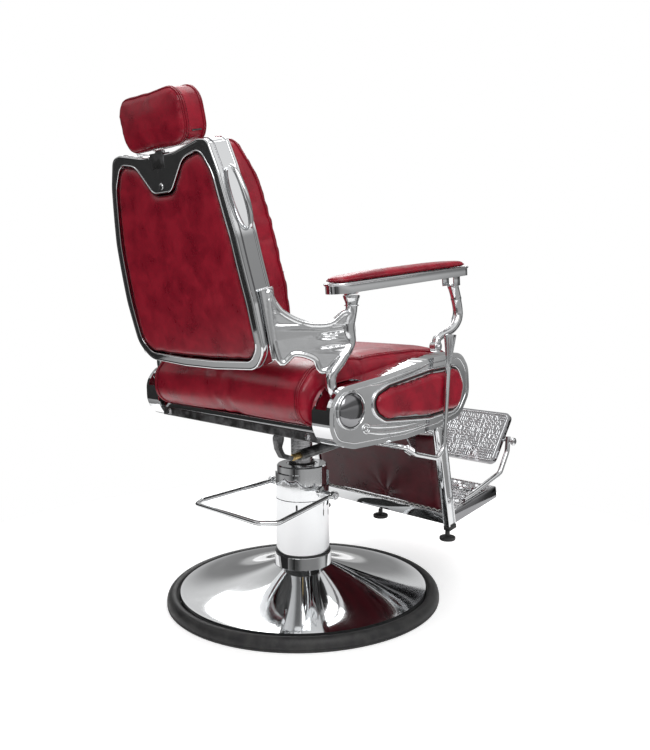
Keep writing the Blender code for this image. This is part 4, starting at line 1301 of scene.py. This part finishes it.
def make_guide():
    """Black rounded channel plate in the V of the frame, with its clamping screw."""
    lean = (-BACK_LEAN, 0, 0)
    outline = [(-0.0235, 0.474), (-0.0235, 0.402), (0.0, 0.386), (0.0235, 0.402), (0.0235, 0.474)]
    path = rounded_path(list(reversed(outline)), [0, 0.010, 0.016, 0.010, 0], closed=False)
    path = [Vector(point) for point in path]
    solid = plate("channel_plate_core", [path], 0.003)
    for vertex in solid.data.vertices:
        vertex.co = flat_back_point(vertex.co.x, vertex.co.y, vertex.co.z - 0.0008)
    solid.name = "channel_plate"
    add_piece(round_edges(solid, 0.0008, 2), ENAMEL, "back")
    screw = [(0, 0.0052), (0.0040, 0.0050), (0.0062, 0.0040), (0.0070, 0.0020), (0.0070, 0), (0, 0)]
    turn = (-BACK_FRONT).to_track_quat("Z", "Y").to_euler()
    head = turned("clamp_screw", screw, 40, False, flat_back_point(0, 0.4040, -0.0021), turn)
    slot = block("screw_slot", (0.0100, 0.004, 0.0012), flat_back_point(0, 0.4040, -0.0083), lean, 0)
    boolean(head, slot)
    add_piece(shade(head, 30), CHROME, "back")


# ---------------------------------------------------------------- armrests
def arm_outline(margin=0.0):
    half = 0.032 - margin
    front = -0.375 + margin
    rear = 0.063 - margin
    corners = [(-half, front), (half, front), (half, rear), (-half, rear)]
    return even_path(rounded_path(corners, [0.014, 0.014, 0.031, 0.031], closed=True), 0.004)


def make_armrest(name, sign):
    """Plated tray with a rolled rim, and a thin crowned pad with a piping line."""
    lift = (-ARM_LIFT, 0, 0)
    up = Vector((0, math.sin(ARM_LIFT), math.cos(ARM_LIFT)))
    pivot = Vector((sign * ARM_X, *ARM_REAR_PIVOT))
    body = "armrest_" + name
    turn = Matrix.Translation(pivot) @ Matrix.Rotation(-ARM_LIFT, 4, "X")
    tray_core = plate("tray_core_" + name, [arm_outline(0.001)], 0.021, pivot + up * 0.0103, lift)
    tray = round_edges(tray_core, 0.0055, 5)
    parts = [tray]
    for cheek, offset in (("inner", -0.0162), ("outer", 0.0162)):
        parts.append(block(f"cheek_{cheek}_{name}", (0.0035, 0.024, 0.026),
                           pivot + Vector((offset, -0.3400, 0.0214)), lift, 0.0012))
    parts.append(tube("knuckle_" + name, [turn @ Vector((0, y, 0.0015)) for y in (-0.017, 0.017)], 0.0080, 6))
    lug_profile = [(0, 0), (0, -0.0055), (0.0105, -0.0055), (0.0125, -0.0040), (0.0150, -0.0020), (0.0170, 0)]
    lug = turned("lug_" + name, lug_profile, 48, False)
    for vertex in lug.data.vertices:
        vertex.co = turn @ Vector((vertex.co.x * 0.62, vertex.co.y * 1.25, vertex.co.z + 0.0004))
    parts.append(lug)
    add_piece(join(parts, "arm_tray_" + name), CHROME, body, ["armrest_tray_" + name])
    rim = [turn @ Vector((point.x, point.y, 0.0188)) for point in arm_outline(0.0008)]
    add_piece(tube("tray_rim_" + name, rim, 0.0027, 5, cyclic=True), CHROME, body)

    core = plate("pad_core_" + name, [arm_outline(0.007)], 0.008, pivot + up * 0.0275, lift)
    freeze(core)
    core.name = "arm_upholstery_" + name

    def limit(place):
        height = (place - pivot).dot(up)
        lift_up = max(0, 0.0218 - height)
        return place + up * lift_up
    puff(core, 0.0085, 0.004, 5.0, limit)
    add_piece(core, LEATHER, body, ["armrest_pad_" + name])
    tree = surface_tree(core)
    seam = [turn @ Vector((point.x, point.y, 0.0262)) for point in arm_outline(0.002)]
    piping("arm_piping_" + name, seam, tree, body, 0.0019)


def make_front_post(name, sign):
    """S-shaped cast post with a ringed head, an eye and its bolt."""
    x = sign * ARM_X
    foot = Vector((x, *POST_FOOT))
    path = smooth_path([foot, (x, -0.138, 0.676), (x, -0.188, 0.694), (x, -0.212, 0.724),
                        (x, -0.205, 0.765), (x, POST_HEAD[0] - 0.006, POST_HEAD[1] - 0.0150)], 10)
    count = len(path)
    radii = []
    for index in range(count):
        share = index / (count - 1)
        swell = sum(rise * math.exp(-((share - middle) / spread) ** 2)
                    for rise, middle, spread in ((0.14, 0.52, 0.12), (0.12, 0.80, 0.015), (0.10, 0.97, 0.02)))
        radii.append(1.06 + 0.30 * share ** 1.5 + swell)
    post = tube("post_core_" + name, path, 0.0096, 8, radii)
    half = [(0, 0.010), (0.0115, 0.010), (0.013, 0.0085)]
    eye_profile = half + [(radius, -height) for radius, height in reversed(half)]
    eye = turned("eye_core_" + name, eye_profile, 48, False, foot, (0, math.pi / 2, 0))
    solid = melt(join([post, eye], "s_post_" + name), 0.0011, 4)
    add_piece(solid, CAST, "front_post_" + name, ["front_post_" + name])
    bolt_place = foot + Vector((sign * 0.010, 0, 0))
    bolt = hexagon_bolt("post_bolt_" + name, bolt_place, (sign, 0, 0), 0.0060, 0.0045)
    add_piece(bolt, STEEL, "front_post_" + name)


# ---------------------------------------------------------------- footrest
def make_legrest():
    """Channel bars, tufted panel with nail trim, plated strip, bolts and feet."""
    lean = (-LEG_LEAN, 0, 0)
    for name, sign in sides():
        bar_x = sign * LEG_BAR_X
        bar = block("bar_core_" + name, (0.020, 0.030, 0.305), leg_point(bar_x, 0, 0.1415), lean, 0.002)
        groove = block("groove_" + name, (0.006, 0.020, 0.270),
                       leg_point(sign * (LEG_BAR_X + 0.010), 0, 0.1515), lean, 0)
        boolean(bar, groove)
        bar.name = "channel_bar_" + name
        add_piece(shade(bar, 30), CHROME, "legrest", ["legrest_bar_" + name])
        cover_size = (0.0212, 0.0312, 0.014)
        cover = block("bar_rubber_" + name, cover_size, leg_point(bar_x, 0, 0.2880), lean, 0.003)
        add_piece(cover, RUBBER, "legrest")
        bolt_place = leg_point(sign * (LEG_BAR_X + 0.0072), 0, 0.212)
        bolt = hexagon_bolt("bar_bolt_" + name, bolt_place, (sign, 0, 0), 0.006, 0.004)
        add_piece(bolt, STEEL, "legrest")
        cap = hexagon_bolt("axle_cap_" + name, (sign * 0.2452, *LEG_PIVOT), (sign, 0, 0), 0.009, 0.005)
        add_piece(cap, STEEL, "legrest")
    make_leg_panel()
    half = LEG_BAR_X - 0.0105
    strip = block("trim_strip", (2 * half, 0.004, 0.031), leg_point(0, -0.010, 0.2630), lean, 0.0012)
    add_piece(strip, CHROME, "legrest", ["legrest_strip"])
    make_nail_trim(half)
    feet = (("left", LEG_BAR_X), ("middle", 0), ("right", -LEG_BAR_X))
    for name, x in feet:
        place = leg_point(x, -0.012, 0.2950 if x else 0.2800)
        profile = [(0, 0), (0.006, 0), (0.0065, -0.0135), (0.019, -0.0150), (0.0208, -0.0162),
                   (0.021, -0.0180),
                   (0.021, -0.0220), (0.0195, -0.0242), (0.017, -0.025), (0, -0.025)]
        foot = turned("buffer_" + name, profile, 64, False, place)
        add_piece(foot, RUBBER, "legrest", ["bumper_foot_" + name])


def make_leg_panel():
    """Leather panel pulled in at a star-shaped tuft on its rear face, with radiating folds."""
    half = LEG_BAR_X - 0.0112
    size = (2 * half, 0.018, 0.209)
    core = block("leg_panel_core", size, leg_point(0, -0.0035, 0.1385), (-LEG_LEAN, 0, 0), 0.004)
    core.name = "leg_upholstery"
    puff(core, 0.004, 0.0045, 3.0)
    tuft = leg_point(-0.030, -0.014, 0.222)
    across = Vector((1, 0, 0))
    for vertex in core.data.vertices:
        offset = vertex.co - tuft
        x = offset.dot(across)
        z = offset.dot(LEG_DOWN)
        reach = math.hypot(x, z)
        behind = offset.dot(LEG_FORWARD)
        if behind > 0.010:
            continue
        angle = math.atan2(z, x)
        folds = 0.5 + 0.5 * math.cos(7 * angle + 0.6 * math.sin(2 * angle))
        pull = 0.0065 * math.exp(-(reach / 0.016) ** 2) + 0.0026 * folds * math.exp(-(reach / 0.085) ** 1.5)
        sag = 0.0012 * math.sin(18 * x + 4 * z) * math.exp(-((z - 0.02) / 0.05) ** 2)
        vertex.co += LEG_FORWARD * (pull + sag)
    add_piece(core, DARK_LEATHER, "legrest", ["legrest_panel"])
    button = [(0, 0.0036), (0.003, 0.0034), (0.0062, 0.0022), (0.0078, 0.0002), (0, 0)]
    turn = (-LEG_FORWARD).to_track_quat("Z", "Y").to_euler()
    knob = turned("tuft_button", button, 40, False, tuft + LEG_FORWARD * 0.0052, turn)
    add_piece(knob, DARK_LEATHER, "legrest")


def make_nail_trim(half):
    """Pale zigzag lacing along the lower hem of the leg panel."""
    turns = 46
    route = []
    for index in range(turns + 1):
        x = -half + 0.005 + (2 * half - 0.010) * index / turns
        route.append(leg_point(x, -0.0147, 0.2395 + (0.0026 if index % 2 else -0.0026)))
    add_piece(tube("hem_lacing", route, 0.0011, 3), LACING, "legrest")


def relief(name, width, height, place, body, step=0.0135, margin=0.010):
    """Embossing: a raised border and short bars laid in turned groups, so that no row repeats."""
    bars = []
    columns = int((width - 2 * margin) / step)
    rows = int((height - 2 * margin) / step)
    cell_x = (width - 2 * margin) / columns
    cell_y = (height - 2 * margin) / rows
    reach = 0.40 * cell_x
    across = 0.25 * cell_x
    along = 0.25 * cell_y
    level_bars = [[(-reach, side), (reach, side)] for side in (-along, along)]
    upright_bars = [[(side, -reach), (side, reach)] for side in (-across, across)]
    peak = [[(-reach, -reach), (0, reach), (reach, -reach)]]
    cup = [[(-reach, reach), (-reach, -reach), (reach, -reach), (reach, reach)]]
    diamond = [[(-reach, 0), (0, -reach), (reach, 0), (0, reach), (-reach, 0)]]
    groups = (level_bars, upright_bars, peak, cup, diamond)
    for row in range(rows):
        for column in range(columns):
            x = -width / 2 + margin + (column + 0.5) * cell_x
            y = -height / 2 + margin + (row + 0.5) * cell_y
            kind = random.choice((0, 1, 2, 3, 4))
            for line in groups[kind]:
                bars += [[place(x + end[0], y + end[1]) for end in pair] for pair in zip(line, line[1:])]
    curve = curve_object(name, bars, "3D", False)
    curve.data.bevel_depth = 0.00145
    curve.data.bevel_resolution = 2
    curve.data.use_fill_caps = True
    add_piece(shade(curve_mesh(curve, name), 50), CHROME, body)
    side = width / 2 - 0.005
    end = height / 2 - 0.005
    border = rounded_path([(-side, -end), (side, -end), (side, end), (-side, end)], 0.012, closed=True)
    route = [place(point.x, point.y) for point in border]
    add_piece(tube(name + "_border", route, 0.0016, 4, cyclic=True), CHROME, body)


def make_step():
    """Lower step: thin tray with folded edges and an embossed top; bent arms carry the plate."""
    lean = (-LEG_LEAN, 0, 0)
    depth = 0.205
    middle = 0.0155 + depth / 2
    step = block("step_core", (0.470, depth, 0.034), leg_point(0, middle, 0.272), lean, 0.004, 4)
    hollow = block("step_hollow", (0.462, depth - 0.008, 0.034), leg_point(0, middle, 0.276), lean, 0)
    boolean(step, hollow)
    step.name = "step_tray"
    # The step tray gets the darker chrome copy: painted shade.
    add_piece(shade(step, 30), SHADED_CHROME, "legrest", ["lower_step"])

    def on_step(x, y):
        return leg_point(x, middle + y, 0.2550)
    relief("step_relief", 0.462, depth - 0.006, on_step, "legrest", 0.0150)
    for name, sign in sides():
        x = sign * 0.221
        bends = [leg_point(x, 0.085, 0.2475), leg_point(x, 0.130, 0.2462), (x, -0.560, 0.262),
                 (x, PLATE_PIVOT[0] + 0.004, PLATE_PIVOT[1] - 0.030),
                 (x, PLATE_PIVOT[0], PLATE_PIVOT[1] + 0.012)]
        route = rounded_path(bends, [0, 0.05, 0.025, 0.03, 0], segments=12)
        arm = tube("arm_core_" + name, route, 0.0072, 8)
        bore = [(0, 0.025), (0.0043, 0.025), (0.0043, -0.025), (0, -0.025)]
        turn = (0, math.pi / 2, 0)
        boolean(arm, turned("arm_bore_" + name, bore, 32, False, (x, *PLATE_PIVOT), turn))
        arm.name = "bent_arm_" + name
        add_piece(shade(arm, 40), CHROME, "legrest", ["step_arm_" + name])
        bolt = hexagon_bolt("arm_bolt_" + name, leg_point(x, 0.100, 0.2405), -LEG_DOWN, 0.0055, 0.004)
        add_piece(bolt, STEEL, "legrest")


def make_footplate():
    """Flip-over plate: embossed chrome above, upholstery below, knurled knobs at its pins."""
    tilt = (-PLATE_TILT, 0, 0)
    turn = Matrix.Translation((0, *PLATE_PIVOT)) @ Matrix.Rotation(-PLATE_TILT, 4, "X")
    corners = [(-0.208, -0.080), (0.208, -0.080), (0.208, 0.080), (-0.208, 0.080)]
    outline = even_path(rounded_path(corners, 0.018, closed=True), 0.004)
    top = plate("plate_core", [outline], 0.0120, turn @ Vector((0, 0, 0.0062)), tilt)
    top.name = "flip_plate"
    # The flip plate gets the darker chrome copy: painted shade.
    add_piece(round_edges(top, 0.0024, 4), SHADED_CHROME, "footplate", ["footplate"])

    def on_plate(x, y):
        return turn @ Vector((x, y, 0.0122))
    relief("plate_relief", 0.410, 0.156, on_plate, "footplate", 0.0150)
    core = plate("plate_pad_core", [inset(outline, 0.007)], 0.011, turn @ Vector((0, 0, -0.0070)), tilt)
    freeze(core)
    core.name = "plate_upholstery"
    normal = (turn.to_3x3() @ Vector((0, 0, 1))).normalized()
    pivot = turn.translation

    def limit(place):
        over = max(0, (place - pivot).dot(normal) + 0.0001)
        return place - normal * over
    puff(core, 0.006, 0.0045, 4.0, limit)
    add_piece(core, LEATHER, "footplate", ["footplate_pad"])
    tree = surface_tree(core)
    roll = [turn @ Vector((point.x, point.y, -0.0042)) for point in inset(outline, 0.002)]
    piping("plate_piping", roll, tree, "footplate", 0.0019)
    for name, sign in sides():
        make_plate_knob(name, sign)


def make_plate_knob(name, sign):
    """Pin and knurled round knob."""
    turn = (0, sign * math.pi / 2, 0)
    start = 0.2060
    profile = [(0, 0.0390), (0.0062, 0.0390), (0.0078, 0.0380), (0.0080, 0.0370), (0.0102, 0.0362),
               (0.0105, 0.0350), (0.0105, 0.0302), (0.0100, 0.0290), (0.0070, 0.0272), (0.0040, 0.0268),
               (0.0040, 0.0006), (0, 0.0006)]
    knob = turned("knob_core_" + name, profile, 64, False, (sign * start, *PLATE_PIVOT), turn)
    ridges = [knob]
    for index in range(20):
        angle = 2 * math.pi * index / 20
        y = PLATE_PIVOT[0] + 0.0104 * math.cos(angle)
        z = PLATE_PIVOT[1] + 0.0104 * math.sin(angle)
        line = [(sign * (start + reach), y, z) for reach in (0.0300, 0.0352)]
        ridges.append(tube(f"ridge_{index}_{name}", line, 0.0006, 2))
    add_piece(join(ridges, "pin_knob_" + name), CHROME, "footplate", ["plate_knob_" + name])


# ---------------------------------------------------------------- studio
def make_studio():
    """Pale floor, soft light from above and both sides, and black cards that the chrome mirrors."""
    shape = bmesh.new()
    bmesh.ops.create_circle(shape, cap_ends=True, segments=96, radius=1.25)
    floor = from_bmesh("studio_floor", shape)
    floor.location = (0, 0, -0.0005)
    paper = Surface("floor_paper", "", (0.90, 0.90, 0.90), 0.0, 0.7)
    fibre = paper.noise(6, 4)
    paper.join(paper.ramp(fibre, [(0.3, (0.89, 0.89, 0.89)), (0.7, (0.91, 0.91, 0.91))]), "Base Color")
    reach = paper.nodes.new("ShaderNodeVectorMath")
    reach.operation = "LENGTH"
    paper.links.new(paper.place, reach.inputs[0])
    paper.set(Emission_Color=(1, 1, 1, 1))
    seen = paper.nodes.new("ShaderNodeLightPath").outputs["Is Camera Ray"]
    glow = paper.spread(reach.outputs["Value"], 0.44, 0.85, 0.42, 1.15)
    paper.join(paper.math("MULTIPLY", glow, paper.spread(seen, 0.34, 1.0)), "Emission Strength")
    floor.data.materials.append(paper.material)

    card_surface = Surface("black_card", "", (0.012, 0.012, 0.012), 0.0, 0.8)
    cards = (("card_rear_left", (1.30, 1.20, 0.60), (2.3, 1.15)),
             ("card_right", (-0.72, -1.78, 0.45), (0.36, 1.0)),
             ("card_rear", (-0.45, 2.2, 0.40), (0.26, 1.2)),
             ("card_top", (-0.30, -1.50, 2.00), (1.1, 0.5)))
    for name, place, (width, height) in cards:
        shape = bmesh.new()
        bmesh.ops.create_grid(shape, x_segments=1, y_segments=1, size=0.5)
        card = from_bmesh(name, shape)
        card.scale = (width, height, 1)
        card.location = place
        aim = Vector((0, 0, 0.6)) - Vector(place)
        aim.z = 0
        card.rotation_euler = aim.to_track_quat("Z", "Y").to_euler()
        card.data.materials.append(card_surface.material)
        card.visible_camera = False
        card.visible_shadow = False
        card.visible_diffuse = False

    lights = (("key_light", (-2.6, 1.6, 3.2), 2.2, 46), ("fill_light", (-1.2, 3.6, 1.6), 2.0, 10),
              ("front_light", (2.4, -1.8, 2.6), 1.8, 30), ("top_light", (0.2, 0.0, 3.8), 2.4, 36))
    for name, place, size, power in lights:
        data = bpy.data.lights.new(name, "AREA")
        data.shape = "SQUARE"
        data.size = size
        data.energy = power
        lamp = bpy.data.objects.new(name, data)
        lamp.location = place
        aim = Vector((0, 0, 0.6)) - Vector(place)
        lamp.rotation_euler = aim.to_track_quat("-Z", "Y").to_euler()
        bpy.context.scene.collection.objects.link(lamp)

    world = bpy.data.worlds.new("studio")
    bpy.context.scene.world = world
    world.use_nodes = True
    nodes = world.node_tree.nodes
    links = world.node_tree.links
    nodes.clear()
    place = nodes.new("ShaderNodeTexCoord").outputs["Generated"]
    parts = nodes.new("ShaderNodeSeparateXYZ")
    links.new(place, parts.inputs["Vector"])
    compass = nodes.new("ShaderNodeMath")
    compass.operation = "ARCTAN2"
    links.new(parts.outputs["Y"], compass.inputs[0])
    links.new(parts.outputs["X"], compass.inputs[1])
    turns = nodes.new("ShaderNodeMapRange")
    turns.inputs["From Min"].default_value = -math.pi
    turns.inputs["From Max"].default_value = math.pi
    links.new(compass.outputs["Value"], turns.inputs["Value"])
    around = nodes.new("ShaderNodeValToRGB")
    around.color_ramp.interpolation = "EASE"
    bands = ((0.0, 1.0), (0.138, 0.95), (0.168, 0.10), (0.190, 0.06), (0.225, 0.85), (0.34, 1.0), (0.43, 0.9),
             (0.48, 0.12), (0.53, 0.30), (0.60, 1.0), (0.70, 0.80), (0.77, 0.08), (0.81, 0.10), (0.88, 0.9),
             (0.94, 1.0), (1.0, 1.0))
    elements = around.color_ramp.elements
    while len(elements) < len(bands):
        elements.new(0.5)
    for element, (position, level) in zip(elements, bands):
        element.position = position
        element.color = (level, level, level, 1)
    links.new(turns.outputs["Result"], around.inputs["Fac"])
    upward = nodes.new("ShaderNodeValToRGB")
    upward.color_ramp.interpolation = "EASE"
    levels = ((0.0, 0.5), (0.42, 0.45), (0.50, 0.65), (0.53, 0.30), (0.60, 0.35), (0.70, 1.0), (0.88, 0.95),
              (1.0, 0.7))
    elements = upward.color_ramp.elements
    while len(elements) < len(levels):
        elements.new(0.5)
    for element, (position, level) in zip(elements, levels):
        element.position = position
        element.color = (level, level, level, 1)
    height = nodes.new("ShaderNodeMapRange")
    height.inputs["From Min"].default_value = -1
    links.new(parts.outputs["Z"], height.inputs["Value"])
    links.new(height.outputs["Result"], upward.inputs["Fac"])
    product = nodes.new("ShaderNodeMix")
    product.data_type = "RGBA"
    product.blend_type = "MULTIPLY"
    product.inputs[0].default_value = 0.85
    links.new(upward.outputs["Color"], product.inputs[6])
    links.new(around.outputs["Color"], product.inputs[7])
    seen = nodes.new("ShaderNodeLightPath")
    room = nodes.new("ShaderNodeBackground")
    room.inputs["Strength"].default_value = 0.80
    links.new(product.outputs[2], room.inputs["Color"])
    plain = nodes.new("ShaderNodeBackground")
    plain.inputs["Color"].default_value = (1, 1, 1, 1)
    plain.inputs["Strength"].default_value = 1.0
    chosen = nodes.new("ShaderNodeMixShader")
    links.new(seen.outputs["Is Camera Ray"], chosen.inputs[0])
    links.new(room.outputs["Background"], chosen.inputs[1])
    links.new(plain.outputs["Background"], chosen.inputs[2])
    output = nodes.new("ShaderNodeOutputWorld")
    links.new(chosen.outputs[0], output.inputs["Surface"])
    bpy.context.scene.view_settings.view_transform = "Standard"


make_base()
make_column()
make_pump_lever()
make_ram()
make_seat_cushion()
make_under_seat()
make_seat_trim()
make_recline_lever()
make_back_frame()
make_back_panel()
make_back_cushion()
make_headrest()
make_guide()
make_legrest()
make_step()
make_footplate()
for side_name, side_sign in sides():
    make_side(side_name, side_sign)
    make_back_handle(side_name, side_sign)
    make_arm_casting(side_name, side_sign)
    make_armrest(side_name, side_sign)
    make_front_post(side_name, side_sign)
make_studio()
